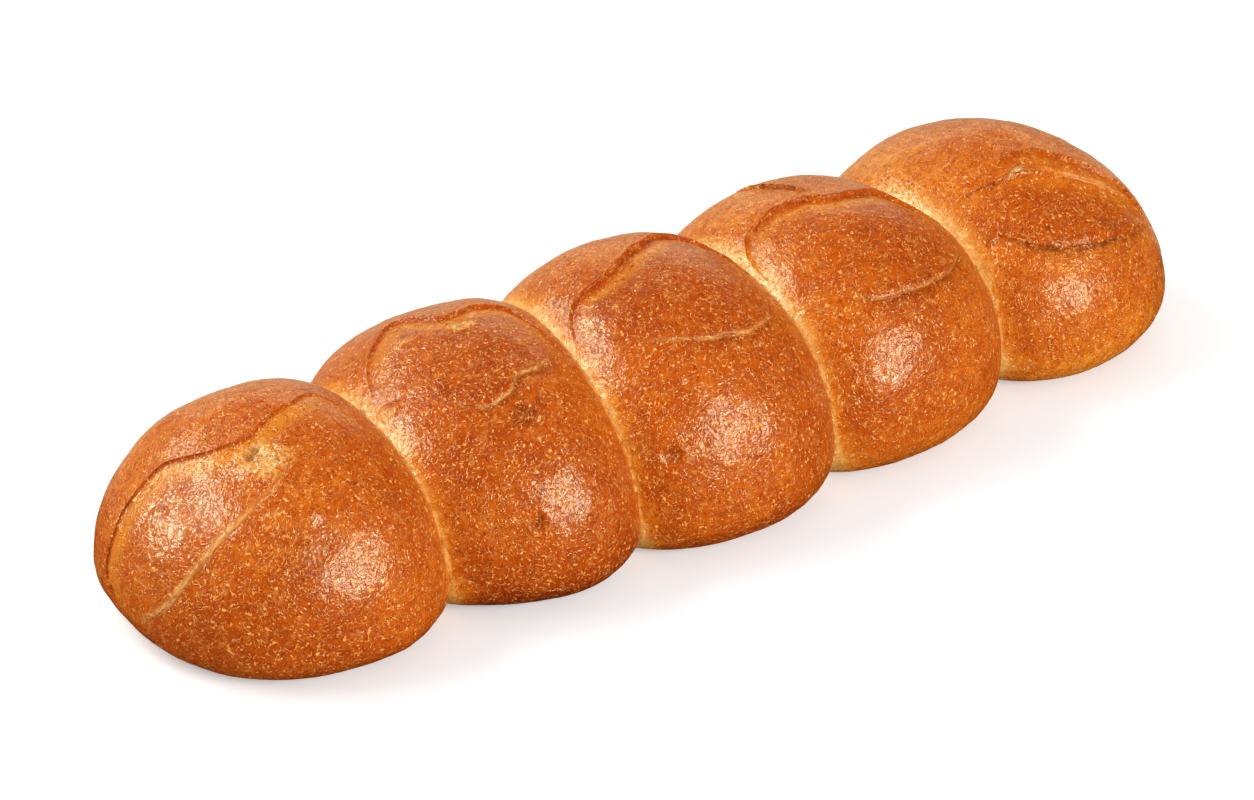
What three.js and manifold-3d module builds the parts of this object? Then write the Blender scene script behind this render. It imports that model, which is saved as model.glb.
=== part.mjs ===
// Farmhouse roll: five dough balls proved side by side and baked into one row of
// bread that pulls apart at the seams. Millimetres, +Z up, +X along the row.
//
// Each ball is a rounded dome on a nearly upright wall. It is slashed once along
// its top: behind the slash the crust stands as a lip over the opened dough, and
// in front a thin flap of crust stands a little proud. Everything is baked into
// one loaf, so the five balls are joined into one solid with one flat base.

import * as THREE from 'three';
import { mergeVertices } from 'three/addons/utils/BufferGeometryUtils.js';
import Module from 'manifold-3d';

const wasm = await Module();
wasm.setup();

// ---- Driving dimensions -------------------------------------------------------

const PITCH = 60;               // from one ball's middle to the next
const BELLY_HEIGHT = 0.22;      // height of the widest level, as a share of the ball's height
const FOOTPRINT = 0.82;         // the base's width, as a share of the widest level's
const RIM_SHARPNESS = 14;       // how tightly the wall turns into the base
const BASE_TRIM = 0.25;         // slice taken off below, which leaves the base truly flat
const OUTLINE_POWER = 2.25;     // seen from above: 2 is an ellipse, more is boxier
const DOME_POWER = 1.93;        // above the widest level
const WALL_POWER = 2.1;         // below it

const SLASH_DEPTH = 1.7;        // the opened dough lies this far below the back lip
const FLAP_HEIGHT = 0.6;        // the front flap stands this far proud
const TOOL_CLEARANCE = 4;       // how far the cutting and joining wedges pass the crust
const CRUST_DETAIL = 9;         // each edge of an icosahedron is split into this many, plus one
const SLASH_STEPS = 16;         // along one slash
const OPENING_STEPS = 3;        // across its opened half
const FLAP_STEPS = 2;           // across the flap half

const CRUST = { colour: 0xc4671c, roughness: 0.42, metalness: 0 };

// One entry for each ball, from the near end of the row to the far end.
//   shift   how far its middle lies from its even place, along and across the row
//   reach   half-widths at the widest level: along the row to the left and right,
//           across it to the front and back
//   turn    in degrees about the vertical
//   lean    how far the top is pushed over, along and across the row
//   slash   its lips run from the left tip to the right tip, in the ball's own
//           frame. A place is given in quarter turns down from the very top, so a
//           length of 1 is the widest level: first along the row, then towards the back.
//   dents   small dimples, in the same measure: place, radius and depth
const BALLS = [
  {
    shift: [3, 2.5], reach: { left: 46, right: 39, front: 46, back: 41.5 },
    height: 55.5, turn: -7, lean: [-2.5, 2],
    slash: {
      tips: [[-1.15, -0.1], [0.33, -0.1]],
      back: [[-1, 0.04], [-0.86, 0.12], [-0.5, 0.06], [-0.3, -0.07], [-0.16, -0.1], [0.05, -0.03], [0.22, 0.04]],
      front: [[-0.85, -0.35], [-0.6, -0.4], [-0.36, -0.38], [-0.2, -0.35], [-0.08, -0.29], [0.17, -0.24]],
    },
    dents: [{ place: [-0.18, -0.18], radius: 2.2, depth: 1.2 }],
  },
  {
    shift: [7.5, -0.5], reach: { left: 52, right: 34.5, front: 48.5, back: 52 },
    height: 56.5, turn: -18, lean: [-4.5, 0.5],
    slash: {
      tips: [[-0.44, -0.06], [0.36, -0.06]],
      back: [[-0.4, 0.08], [-0.32, 0.21], [-0.22, 0.27], [-0.12, 0.16], [0.04, 0.2], [0.24, 0.13]],
      front: [[-0.38, -0.16], [-0.26, -0.24], [-0.13, -0.33], [-0.02, -0.32], [0.1, -0.26], [0.24, -0.19]],
    },
    dents: [{ place: [-0.06, -0.77], radius: 2.4, depth: 1.1 }],
  },
  {
    shift: [-5, -3.5], reach: { left: 45, right: 44, front: 49.5, back: 47.5 },
    height: 61.5, turn: -3, lean: [-0.5, 2.5],
    slash: {
      tips: [[-0.45, -0.1], [0.45, -0.06]],
      back: [[-0.39, 0], [-0.3, 0.04], [-0.14, 0.05], [0.02, 0.12], [0.2, 0.2], [0.38, 0.11]],
      front: [[-0.38, -0.2], [-0.28, -0.28], [-0.08, -0.37], [0.13, -0.4], [0.3, -0.33], [0.4, -0.2]],
    },
    dents: [{ place: [-0.4, -0.65], radius: 3, depth: 1.3 }],
  },
  {
    shift: [-8.5, -3], reach: { left: 41.5, right: 47.5, front: 45, back: 51.5 },
    height: 59, turn: 1, lean: [1, 0],
    slash: {
      tips: [[-0.44, -0.06], [0.48, -0.14]],
      back: [[-0.4, 0.06], [-0.3, 0.13], [-0.16, 0.13], [0.07, 0.05], [0.3, 0.05]],
      front: [[-0.41, -0.2], [-0.3, -0.34], [-0.14, -0.44], [0.05, -0.47], [0.25, -0.43], [0.4, -0.32]],
    },
    dents: [],
  },
  {
    shift: [1.5, 4.5], reach: { left: 44, right: 40, front: 46, back: 52.5 },
    height: 52.5, turn: 18, lean: [-1, 0],
    slash: {
      tips: [[-0.42, 0.02], [0.36, -0.6]],
      back: [[-0.28, -0.03], [-0.14, -0.05], [0, -0.11], [0.11, -0.25], [0.26, -0.4]],
      front: [[-0.45, -0.2], [-0.38, -0.38], [-0.24, -0.53], [0, -0.61], [0.2, -0.63]],
    },
    dents: [{ place: [-0.47, -0.2], radius: 1.8, depth: 0.7 }],
  },
];

// ---- The shape of one ball ------------------------------------------------------

const UP = new THREE.Vector3(0, 0, 1);

const powerSum = (power, ...terms) => terms.reduce((sum, t) => sum + Math.abs(t) ** power, 0);

/** The four half-widths and two heights that stretch a unit ball along one direction. */
function stretch(ball, direction) {
  const belly = ball.height * BELLY_HEIGHT + BASE_TRIM;
  return {
    along: direction.x > 0 ? ball.reach.right : ball.reach.left,
    across: direction.y > 0 ? ball.reach.back : ball.reach.front,
    // Below the widest level the wall would close at this depth if the base didn't stop it.
    up: direction.z >= 0 ? ball.height + BASE_TRIM - belly : belly / wallFraction(),
    belly,
  };
}

const wallFraction = () => (1 - FOOTPRINT ** WALL_POWER) ** (1 / WALL_POWER);

/** How far out a point lies from the ball's middle, where 1 is on the crust. */
function outwardness(point, size) {
  const outline = powerSum(OUTLINE_POWER, point.x / size.along, point.y / size.across)
    ** (1 / OUTLINE_POWER);
  if (point.z >= 0) return powerSum(DOME_POWER, outline, point.z / size.up) ** (1 / DOME_POWER);
  const wall = powerSum(WALL_POWER, outline, point.z / size.up) ** (1 / WALL_POWER);
  return powerSum(RIM_SHARPNESS, wall, point.z / size.belly) ** (1 / RIM_SHARPNESS);
}

/** The point of the crust in a direction, raised by lift and placed in the row. */
function crustPoint(ball, index, direction, lift = 0) {
  const size = stretch(ball, direction);
  const point = direction.clone().multiply(new THREE.Vector3(size.along, size.across, size.up));
  point.divideScalar(outwardness(point, size));
  point.setLength(point.length() + lift);

  const height = point.z + size.belly - BASE_TRIM;
  point.applyAxisAngle(UP, THREE.MathUtils.degToRad(ball.turn));
  const middle = PITCH * (index - (BALLS.length - 1) / 2);
  return new THREE.Vector3(
    point.x + middle + ball.shift[0] + ball.lean[0] * height / ball.height,
    point.y + ball.shift[1] + ball.lean[1] * height / ball.height,
    height,
  );
}

/** The direction of a place that is given in quarter turns down from the top. */
function directionOf([along, across]) {
  const turns = Math.hypot(along, across) || Number.EPSILON;
  const angle = turns * Math.PI / 2;
  const level = Math.sin(angle) / turns;
  return new THREE.Vector3(along * level, across * level, Math.cos(angle));
}

// ---- Solids ---------------------------------------------------------------------

/** A closed three.js geometry as a solid that can be joined and cut. */
function solidOf(geometry) {
  const bare = geometry.clone();
  for (const name of Object.keys(bare.attributes)) if (name !== 'position') bare.deleteAttribute(name);
  const merged = mergeVertices(bare, 1e-4);
  return new wasm.Manifold(new wasm.Mesh({
    numProp: 3,
    vertProperties: new Float32Array(merged.attributes.position.array),
    triVerts: new Uint32Array(merged.index.array),
  }));
}

/** The solid as a three.js geometry. */
function geometryOf(solid) {
  const mesh = solid.getMesh();
  const geometry = new THREE.BufferGeometry();
  geometry.setAttribute('position', new THREE.BufferAttribute(mesh.vertProperties, 3));
  geometry.setIndex(new THREE.BufferAttribute(mesh.triVerts, 1));
  geometry.computeVertexNormals();
  return geometry;
}

/** A whole ball: a fine icosahedron whose corners are pushed out to the crust. */
function ballSolid(ball, index) {
  const geometry = new THREE.IcosahedronGeometry(1, CRUST_DETAIL);
  const position = geometry.attributes.position;
  const corner = new THREE.Vector3();
  for (let i = 0; i < position.count; i++) {
    corner.fromBufferAttribute(position, i).normalize();
    position.setXYZ(i, ...crustPoint(ball, index, corner));
  }
  return solidOf(geometry);
}

/**
 * A blanket over part of the slash. It has steps along the slash and across it, an
 * under side at one height over the crust and an upper side at another.
 */
function blanket(ball, index, acrossFrom, acrossTo, steps, underHeight, upperHeight) {
  const { tips: [left, right], back, front } = ball.slash;
  const toVectors = (places) => places.map(([along, across]) => new THREE.Vector2(along, across));
  const backLip = new THREE.SplineCurve(toVectors([left, ...back, right]));
  const frontLip = new THREE.SplineCurve(toVectors([left, ...front, right]));

  const corners = [];
  const cornerAt = (height, alongStep, acrossStep) => {
    // The tips themselves are left out, so that every face of the blanket has an area.
    const along = THREE.MathUtils.lerp(0.02, 0.98, alongStep / SLASH_STEPS);
    const across = THREE.MathUtils.lerp(acrossFrom, acrossTo, acrossStep / steps);
    const place = backLip.getPointAt(along).lerp(frontLip.getPointAt(along), across);
    const lift = height(along, across);
    corners.push(...crustPoint(ball, index, directionOf(place.toArray()), lift));
  };
  const heights = [underHeight, upperHeight];
  for (const height of heights) {
    for (let i = 0; i <= SLASH_STEPS; i++) {
      for (let j = 0; j <= steps; j++) cornerAt(height, i, j);
    }
  }

  const row = steps + 1;
  const layer = row * (SLASH_STEPS + 1);
  const faces = [];
  const quad = (a, b, c, d) => faces.push(a, b, c, a, c, d);
  for (let i = 0; i < SLASH_STEPS; i++) {
    for (let j = 0; j < steps; j++) {
      const a = i * row + j;
      quad(a, a + row, a + row + 1, a + 1);
      quad(layer + a, layer + a + 1, layer + a + row + 1, layer + a + row);
    }
    const backEdge = i * row;
    const frontEdge = backEdge + steps;
    quad(backEdge, layer + backEdge, layer + backEdge + row, backEdge + row);
    quad(frontEdge, frontEdge + row, layer + frontEdge + row, layer + frontEdge);
  }
  for (let j = 0; j < steps; j++) {
    const end = SLASH_STEPS * row + j;
    quad(j, j + 1, layer + j + 1, layer + j);
    quad(end, layer + end, layer + end + 1, end + 1);
  }

  const geometry = new THREE.BufferGeometry();
  geometry.setAttribute('position', new THREE.Float32BufferAttribute(corners, 3));
  geometry.setIndex(faces);
  return solidOf(geometry);
}

/** 0 at the tips of the slash and nearly 1 along the rest of it. */
const swell = (along) => Math.sqrt(Math.max(0, Math.sin(Math.PI * along)));

/** The opened dough: deepest under the back lip, level with the crust halfway across. */
function openingSolid(ball, index) {
  const halfway = 0.55;
  const floor = (along, across) => {
    const fromLip = across / halfway;
    return THREE.MathUtils.lerp(-SLASH_DEPTH * swell(along), 0.5, fromLip ** 1.3);
  };
  return blanket(ball, index, 0, halfway, OPENING_STEPS, floor, () => TOOL_CLEARANCE);
}

/** The flap: it rises out of the crust from halfway across up to the front lip. */
function flapSolid(ball, index) {
  const halfway = 0.6;
  const top = (along, across) => {
    const fromHalfway = (across - halfway) / (1 - halfway);
    return THREE.MathUtils.lerp(-0.4, FLAP_HEIGHT * (1.6 * swell(along) - 0.6), fromHalfway);
  };
  return blanket(ball, index, halfway, 1, FLAP_STEPS, () => -TOOL_CLEARANCE, top);
}

/** A dimple: a small ball that dips into the crust by the dent's depth. */
function dentSolid(ball, index, dent) {
  const geometry = new THREE.IcosahedronGeometry(dent.radius, 2);
  const middle = crustPoint(ball, index, directionOf(dent.place), dent.radius - dent.depth);
  geometry.translate(...middle);
  return solidOf(geometry);
}

/** Everything below the surface that the bread lies on. */
function belowBase() {
  const geometry = new THREE.BoxGeometry(1000, 1000, 100);
  geometry.translate(0, 0, -50);
  return solidOf(geometry);
}

// ---- The loaf -------------------------------------------------------------------

function loafSolid() {
  let loaf = null;
  BALLS.forEach((ball, index) => {
    let body = ballSolid(ball, index);
    body = body.add(flapSolid(ball, index)).subtract(openingSolid(ball, index));
    for (const dent of ball.dents) body = body.subtract(dentSolid(ball, index, dent));
    loaf = loaf ? loaf.add(body) : body;
  });
  return loaf.subtract(belowBase());
}

/** Moves the geometry so that its origin is in the middle of its base. */
function centreOnBase(geometry) {
  geometry.computeBoundingBox();
  const middle = geometry.boundingBox.getCenter(new THREE.Vector3());
  geometry.translate(-middle.x, -middle.y, -geometry.boundingBox.min.z);
  return geometry;
}

const material = new THREE.MeshStandardMaterial({
  color: CRUST.colour,
  roughness: CRUST.roughness,
  metalness: CRUST.metalness,
});
const loaf = new THREE.Mesh(centreOnBase(geometryOf(loafSolid())), material);
loaf.name = 'roll_row';

const farmhouseRoll = new THREE.Group();
farmhouseRoll.add(loaf);

export default farmhouseRoll;
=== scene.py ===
"""Farmhouse roll: the looks of a row of five rolls that were baked side by side.

Each roll is its own closed mesh, cut at the seam where it meets its neighbour, and all
five stand for the one solid of the frame. A roll is a rounded dome that is pushed out
from a fine grid, then slashed, dimpled and wrinkled in mesh. Its crust is one
procedural material, which reads what the roll knows about itself from attributes: how
near the seam is, where the slash opened it, where it tore.

Sizes are millimetres in the classes below and metres in the meshes. +X runs along the
row, the camera stands on the -Y side, and +Z is up.
"""

from __future__ import annotations

import logging
import math
from dataclasses import dataclass, field, fields
from enum import Enum
from typing import ClassVar, Dict, List, Optional, Sequence, Tuple, Union

import bpy
import numpy as np
from mathutils import Matrix, Vector


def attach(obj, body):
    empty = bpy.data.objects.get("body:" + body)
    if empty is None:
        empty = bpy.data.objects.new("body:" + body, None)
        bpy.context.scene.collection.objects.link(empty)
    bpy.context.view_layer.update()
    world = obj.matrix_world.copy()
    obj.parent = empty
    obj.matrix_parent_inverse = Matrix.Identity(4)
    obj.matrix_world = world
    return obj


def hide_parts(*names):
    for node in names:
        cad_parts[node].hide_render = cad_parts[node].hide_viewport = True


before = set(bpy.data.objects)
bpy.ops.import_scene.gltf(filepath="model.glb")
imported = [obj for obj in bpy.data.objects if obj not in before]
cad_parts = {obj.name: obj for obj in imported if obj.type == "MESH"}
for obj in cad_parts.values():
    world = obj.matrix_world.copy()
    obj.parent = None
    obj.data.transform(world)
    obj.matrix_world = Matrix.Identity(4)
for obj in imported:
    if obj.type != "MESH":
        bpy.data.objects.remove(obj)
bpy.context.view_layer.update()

LOG = logging.getLogger("farmhouse_roll")
MM = 0.001
NODE = "roll_row"
PHOTO_WIDTH = 1254
TINY = 1e-9
HAIR = 1e-6
FINE_CELLS, QUICK_CELLS = 296, 120

Place = Tuple[float, float]
Band = Tuple[float, float]
Colour = Tuple[float, float, float]
Socket = bpy.types.NodeSocket
Fed = Union[Socket, float, Colour]


def srgb(red: int, green: int, blue: int) -> Colour:
    """Turn a colour as it shows on a screen into the linear one that shaders use.

    Args:
        red: Red, from 0 to 255.
        green: Green, from 0 to 255.
        blue: Blue, from 0 to 255.

    Returns:
        The linear colour.
    """
    shares = (channel / 255 for channel in (red, green, blue))
    return tuple(s / 12.92 if s <= 0.04045 else ((s + 0.055) / 1.055) ** 2.4 for s in shares)


def smooth_step(low: float, high: float, value: np.ndarray) -> np.ndarray:
    """Rise smoothly from 0 at low to 1 at high.

    Args:
        low: Where the rise starts.
        high: Where it ends.
        value: The values to look up.

    Returns:
        The height of the rise at each value.
    """
    share = np.clip((value - low) / (high - low), 0, 1)
    return share * share * (3 - 2 * share)


def bell(distance: np.ndarray, width: Union[float, np.ndarray]) -> np.ndarray:
    """Fall from 1 at no distance towards 0, through 1/e at the width."""
    return np.exp(-((distance / width) ** 2))


def direction(azimuth: float, elevation: float) -> Vector:
    """Point from the row to where a light or the camera stands.

    Args:
        azimuth: Degrees, with 0 in front of the row and 90 at its far end.
        elevation: Degrees above the floor.

    Returns:
        The direction, of length 1.
    """
    angle, rise = math.radians(azimuth), math.radians(elevation)
    return Vector((math.sin(angle) * math.cos(rise), -math.cos(angle) * math.cos(rise), math.sin(rise)))


# ---- The form of a roll -----------------------------------------------------------


@dataclass(frozen=True)
class Profile:
    """The rounded form that all the rolls share.

    The powers say how boxy a curve is: 2 is an ellipse, and more is fuller.
    """

    pitch: float = 60.0
    belly_height: float = 0.22
    footprint: float = 0.82
    rim_sharpness: float = 14.0
    base_trim: float = 0.25
    outline_power: float = 2.25
    dome_power: float = 1.93
    wall_power: float = 2.1

    @property
    def wall_fraction(self) -> float:
        """Where the base stops the wall, as a share of the depth at which it would close."""
        return (1 - self.footprint**self.wall_power) ** (1 / self.wall_power)


@dataclass(frozen=True)
class Reach:
    """Half-widths of a roll at its widest level, in mm."""

    left: float
    right: float
    front: float
    back: float


@dataclass(frozen=True)
class Slash:
    """One slash along the top of a roll.

    Its lips run from the left tip to the right tip. A place is given in quarter turns
    down from the very top, first along the row and then towards the back.

    In mm are the depth of the trench under the back lip, the width of the dark line along
    it, which is painted shade, the height of the flap in front and the width of the
    flap's pale rim. The rest are shares: how pale that rim is, partly a painted highlight,
    how dark the painted shade below the flap is, how much browner the opened dough is,
    and how fresh the cut looks. Shown says where along the front lip the flap starts, is
    full, starts to fade and is gone. Each of the wanders bends both lips by so many
    waves, this far.
    """

    tips: Tuple[Place, Place]
    back: Sequence[Place]
    front: Sequence[Place]
    depth: float = 1.4
    wide: float = 1.3
    flap: float = 0.7
    pale_rim: float = 0.5
    rim_width: float = 0.45
    shade: float = 0.35
    browned: float = 0.1
    fresh: float = 1.0
    shown: Tuple[float, float, float, float] = (0.1, 0.35, 0.9, 1.0)

    WANDERS: ClassVar[Sequence[Tuple[float, float]]] = ((3.1, 0.006), (7.3, 0.004), (13.7, 0.002))
    FRONT_WANDER: ClassVar[float] = 0.6
    FINENESS: ClassVar[int] = 40

    @staticmethod
    def spline(places: Sequence[Place], samples: int) -> np.ndarray:
        """Draw a smooth curve through places, with evenly spaced samples.

        Args:
            places: The places that the curve passes.
            samples: How many points come back.

        Returns:
            The places along the curve, one in a row.
        """
        knots = np.array(places, dtype=float)
        last = len(knots) - 1
        share = np.linspace(0, last, Slash.FINENESS * last + 1)
        start = np.minimum(share.astype(int), last - 1)
        t = (share - start)[:, None]
        before, here = knots[np.maximum(start - 1, 0)], knots[start]
        there, after = knots[start + 1], knots[np.minimum(start + 2, last)]
        slope, next_slope = (there - before) / 2, (after - here) / 2
        curve = (
            (2 * here - 2 * there + slope + next_slope) * t**3
            + (-3 * here + 3 * there - 2 * slope - next_slope) * t**2
            + slope * t
            + here
        )
        length = np.concatenate([[0], np.cumsum(np.linalg.norm(np.diff(curve, axis=0), axis=1))])
        even = np.linspace(0, length[-1], samples)
        return np.stack([np.interp(even, length, curve[:, axis]) for axis in (0, 1)], axis=1)

    def lips(self, samples: int = 160) -> Tuple[np.ndarray, np.ndarray]:
        """Draw both lips.

        Args:
            samples: How many points each lip has.

        Returns:
            The places along the back lip and along the front lip.
        """
        left, right = self.tips
        back = self.spline([left, *self.back, right], samples)
        front = self.spline([left, *self.front, right], samples)
        share = np.linspace(0, 1, samples)
        for waves, wander in self.WANDERS:
            back[:, 1] += wander * np.sin(2 * math.pi * (waves * share + right[1]))
            front[:, 1] += self.FRONT_WANDER * wander * np.sin(2 * math.pi * (waves * share + left[0]))
        return back, front


@dataclass(frozen=True)
class Mark:
    """A small thing on the crust: a dimple (depth over 0) or a blister (under 0), in mm.

    It may be darkened, partly as a scorched spot and partly as painted shade in its dip, and a
    pit may have painted shade inside it.
    """

    place: Place
    radius: float
    depth: float
    scorch_and_shade: float = 0.0
    pit_shade: float = 0.0


@dataclass(frozen=True)
class Tear:
    """A spot where the crust tore and pale crumb shows, with its half-widths in mm."""

    place: Place
    along: float
    across: float
    strength: float = 1.0
    turn: float = 0.0


@dataclass(frozen=True)
class Fold:
    """A small step along a line: raised on its left, with its sizes in mm.

    Browned paints shade in a line along it, crack darkens that line nearly to black as the
    painted shade inside a crack, and pale paints a highlight along its raised edge.
    """

    places: Sequence[Place]
    height: float
    width: float
    browned: float = 0.0
    crack: float = 0.0
    pale: float = 0.0


@dataclass
class Skin:
    """What the crust of one roll is at each vertex, mostly from 0 to 1, for its material.

    Lip_far is how far the nearest lip of the slash is, and lip_along how far along that
    lip the vertex lies, both in mm. Still is 0 where the roll rests on its base.
    """

    # Some shares are painted light: the dark line under the back lip, the inside of pits and most dark marks
    # are painted shade, the pale rim is partly a painted highlight, and the tone holds painted shade and
    # light at the foot and a painted sheen.
    seam: np.ndarray
    flank: np.ndarray
    tone: np.ndarray
    patch: np.ndarray
    groove_shade: np.ndarray
    band: np.ndarray
    rim: np.ndarray
    torn: np.ndarray
    pit_shade: np.ndarray
    scorch_and_shade: np.ndarray
    still: np.ndarray
    lip_far: np.ndarray
    lip_along: np.ndarray

    @classmethod
    def blank(cls, count: int) -> "Skin":
        """Start with 0 everywhere, for this many vertices."""
        return cls(*(np.zeros(count) for _ in fields(cls)))


@dataclass
class Roll:
    """One roll of the row, with its sizes in mm.

    It is turned by degrees, shifted from its even place in the row, and its top leans
    over by the lean. Bake says how much browner all of it is. Foot darkens its low sides
    near the floor, and lightens them where it is below 0: partly browning, partly painted
    shade and light.
    """

    MIDDLE_ROLL: ClassVar[int] = 3

    number: int
    shift: Place
    reach: Reach
    height: float
    turn: float
    lean: Place
    slash: Slash
    marks: Sequence[Mark] = ()
    tears: Sequence[Tear] = ()
    folds: Sequence[Fold] = ()
    bake: float = 0.0
    foot: float = 0.0
    profile: Profile = field(default_factory=Profile)

    # ---- From directions to points, and back ----

    @property
    def belly(self) -> float:
        """Height of the widest level over the untrimmed base."""
        return self.height * self.profile.belly_height + self.profile.base_trim

    def stretch(self, directions: np.ndarray) -> np.ndarray:
        """Find the half-width and height that stretch a unit ball in each direction.

        Args:
            directions: Vectors from the middle of the roll, one in a row.

        Returns:
            The stretch along, across and up, one in a row.
        """
        along = np.where(directions[:, 0] > 0, self.reach.right, self.reach.left)
        across = np.where(directions[:, 1] > 0, self.reach.back, self.reach.front)
        dome = self.height + self.profile.base_trim - self.belly
        up = np.where(directions[:, 2] >= 0, dome, self.belly / self.profile.wall_fraction)
        return np.stack([along, across, up], axis=1)

    def outwardness(self, local: np.ndarray) -> np.ndarray:
        """Tell how far out points lie, where 1 is on the crust.

        Args:
            local: Points in the roll's own frame, from its middle at its widest level.

        Returns:
            One number for each point.
        """
        form = self.profile
        along, across, up = np.abs(local / self.stretch(local)).T
        outline = (along**form.outline_power + across**form.outline_power) ** (1 / form.outline_power)
        dome = (outline**form.dome_power + up**form.dome_power) ** (1 / form.dome_power)
        wall = (outline**form.wall_power + up**form.wall_power) ** (1 / form.wall_power)
        below = np.maximum(-local[:, 2] / self.belly, 0)
        rim = (wall**form.rim_sharpness + below**form.rim_sharpness) ** (1 / form.rim_sharpness)
        return np.where(local[:, 2] >= 0, dome, rim)

    def _placing(self) -> Tuple[np.ndarray, np.ndarray, np.ndarray]:
        """Give the turn as a matrix, the middle on the surface below and the lean."""
        angle = math.radians(self.turn)
        turning = np.array([[math.cos(angle), -math.sin(angle)], [math.sin(angle), math.cos(angle)]])
        even_place = self.profile.pitch * (self.number - self.MIDDLE_ROLL)
        middle = np.array([even_place + self.shift[0], self.shift[1]])
        return turning, middle, np.array(self.lean)

    def to_row(self, local: np.ndarray) -> np.ndarray:
        """Place points of the roll's own frame in the row, turned and leaning."""
        turning, middle, lean = self._placing()
        height = local[:, 2] + self.belly - self.profile.base_trim
        flat = local[:, :2] @ turning.T + middle + np.outer(height / self.height, lean)
        return np.column_stack([flat, height])

    def to_local(self, row: np.ndarray) -> np.ndarray:
        """Bring points of the row into the roll's own frame."""
        turning, middle, lean = self._placing()
        flat = row[:, :2] - middle - np.outer(row[:, 2] / self.height, lean)
        return np.column_stack([flat @ turning, row[:, 2] - self.belly + self.profile.base_trim])

    def on_crust(self, local: np.ndarray) -> np.ndarray:
        """Move points of the roll's own frame in or out until they lie on the crust."""
        return local / self.outwardness(local)[:, None]

    def at_places(self, places: np.ndarray) -> np.ndarray:
        """Find points of the crust, in the roll's own frame.

        Args:
            places: Quarter turns down from the top, along and across, one in a row.

        Returns:
            The points, one in a row.
        """
        turns = np.maximum(np.linalg.norm(places, axis=1), TINY)
        angle = turns * math.pi / 2
        level = (np.sin(angle) / turns)[:, None] * places
        directions = np.column_stack([level, np.cos(angle)])
        return self.on_crust(directions * self.stretch(directions))

    def places_of(self, local: np.ndarray) -> np.ndarray:
        """Tell at which places of the crust points lie: the reverse of at_places."""
        unit = local / self.stretch(local)
        level = np.maximum(np.linalg.norm(unit[:, :2], axis=1), TINY)
        turns = np.arctan2(level, unit[:, 2]) / (math.pi / 2)
        return unit[:, :2] * (turns / level)[:, None]


@dataclass(frozen=True)
class LipField:
    """How each vertex lies to one lip: the nearest point, how far it is, and how far along."""

    nearest: np.ndarray
    distance: np.ndarray
    along: np.ndarray

    @classmethod
    def measure(cls, points: np.ndarray, lip: np.ndarray) -> "LipField":
        """Measure points against a lip that is a chain of short straight stretches.

        Args:
            points: The vertices, one in a row.
            lip: The points of the lip, one in a row.

        Returns:
            The field for these vertices.
        """
        best = np.full(len(points), np.inf)
        nearest = np.zeros_like(points)
        along = np.zeros(len(points))
        for index, (start, end) in enumerate(zip(lip[:-1], lip[1:])):
            stretch = end - start
            share = np.clip((points - start) @ stretch / (stretch @ stretch), 0, 1)
            foot = start + share[:, None] * stretch
            gap = np.linalg.norm(points - foot, axis=1)
            closer = gap < best
            best[closer], nearest[closer] = gap[closer], foot[closer]
            along[closer] = (index + share[closer]) / (len(lip) - 1)
        return cls(nearest, best, along)


@dataclass(frozen=True)
class Heat:
    """How the oven's heat fades at the seams, and where tone is painted, with lengths in mm.

    A band gives the two heights between which something changes. A roll is pale widely
    on the side that faces the near end of the row, and narrowly on the other. The tone at
    the foot is partly browning and partly painted shade and light, and the upper back-left
    side is paler as a painted sheen.
    """

    top_band: Band = (14, 44)
    low_band: Band = (4, 22)
    seam_band: Band = (1, 18)
    foot_shade_band: Band = (2, 26)
    seam_width: float = 0.6
    seam_spread: float = 3.8
    near_reach: float = 5.5
    near_reach_at_top: float = 1.5
    near_reach_at_foot: float = 6.0
    near_share: float = 0.5
    near_share_at_ends: float = 0.45
    far_reach: float = 3.0
    far_share: float = 0.2
    far_share_at_ends: float = 0.15
    painted_sheen_way: Tuple[float, float, float] = (-0.45, 0.8, 0.25)
    painted_sheen_band: Band = (0.2, 1.0)
    painted_sheen_strength: float = 0.17


@dataclass(frozen=True)
class Opening:
    """How the dough opens at a slash, with lengths in mm and the rest as shares."""

    wall: float = 0.6
    wall_share: float = 0.25
    wall_band: Band = (-0.35, 0.75)
    floor_end: float = 0.6
    flap_start: float = 0.55
    flap_edge: float = 0.3
    flap_round: float = 1.1
    lip_rise: float = 0.5
    lip_reach: float = 2.4
    lip_edge: float = 0.3
    crease: float = 0.3
    crease_width: float = 0.8
    flap_hang: float = 0.4
    flap_hang_width: float = 0.6
    lip_hang: float = 0.2
    lip_hang_width: float = 0.7
    brown_band: Band = (1, 8)
    brim: float = 0.2
    band_start: Band = (0.8, 1.7)
    band_end: Band = (3.2, 8)
    rim_outside: float = 0.25
    shade_inside: float = 0.4
    shade_inside_width: float = 0.35
    shade_width: float = 2.2


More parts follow.
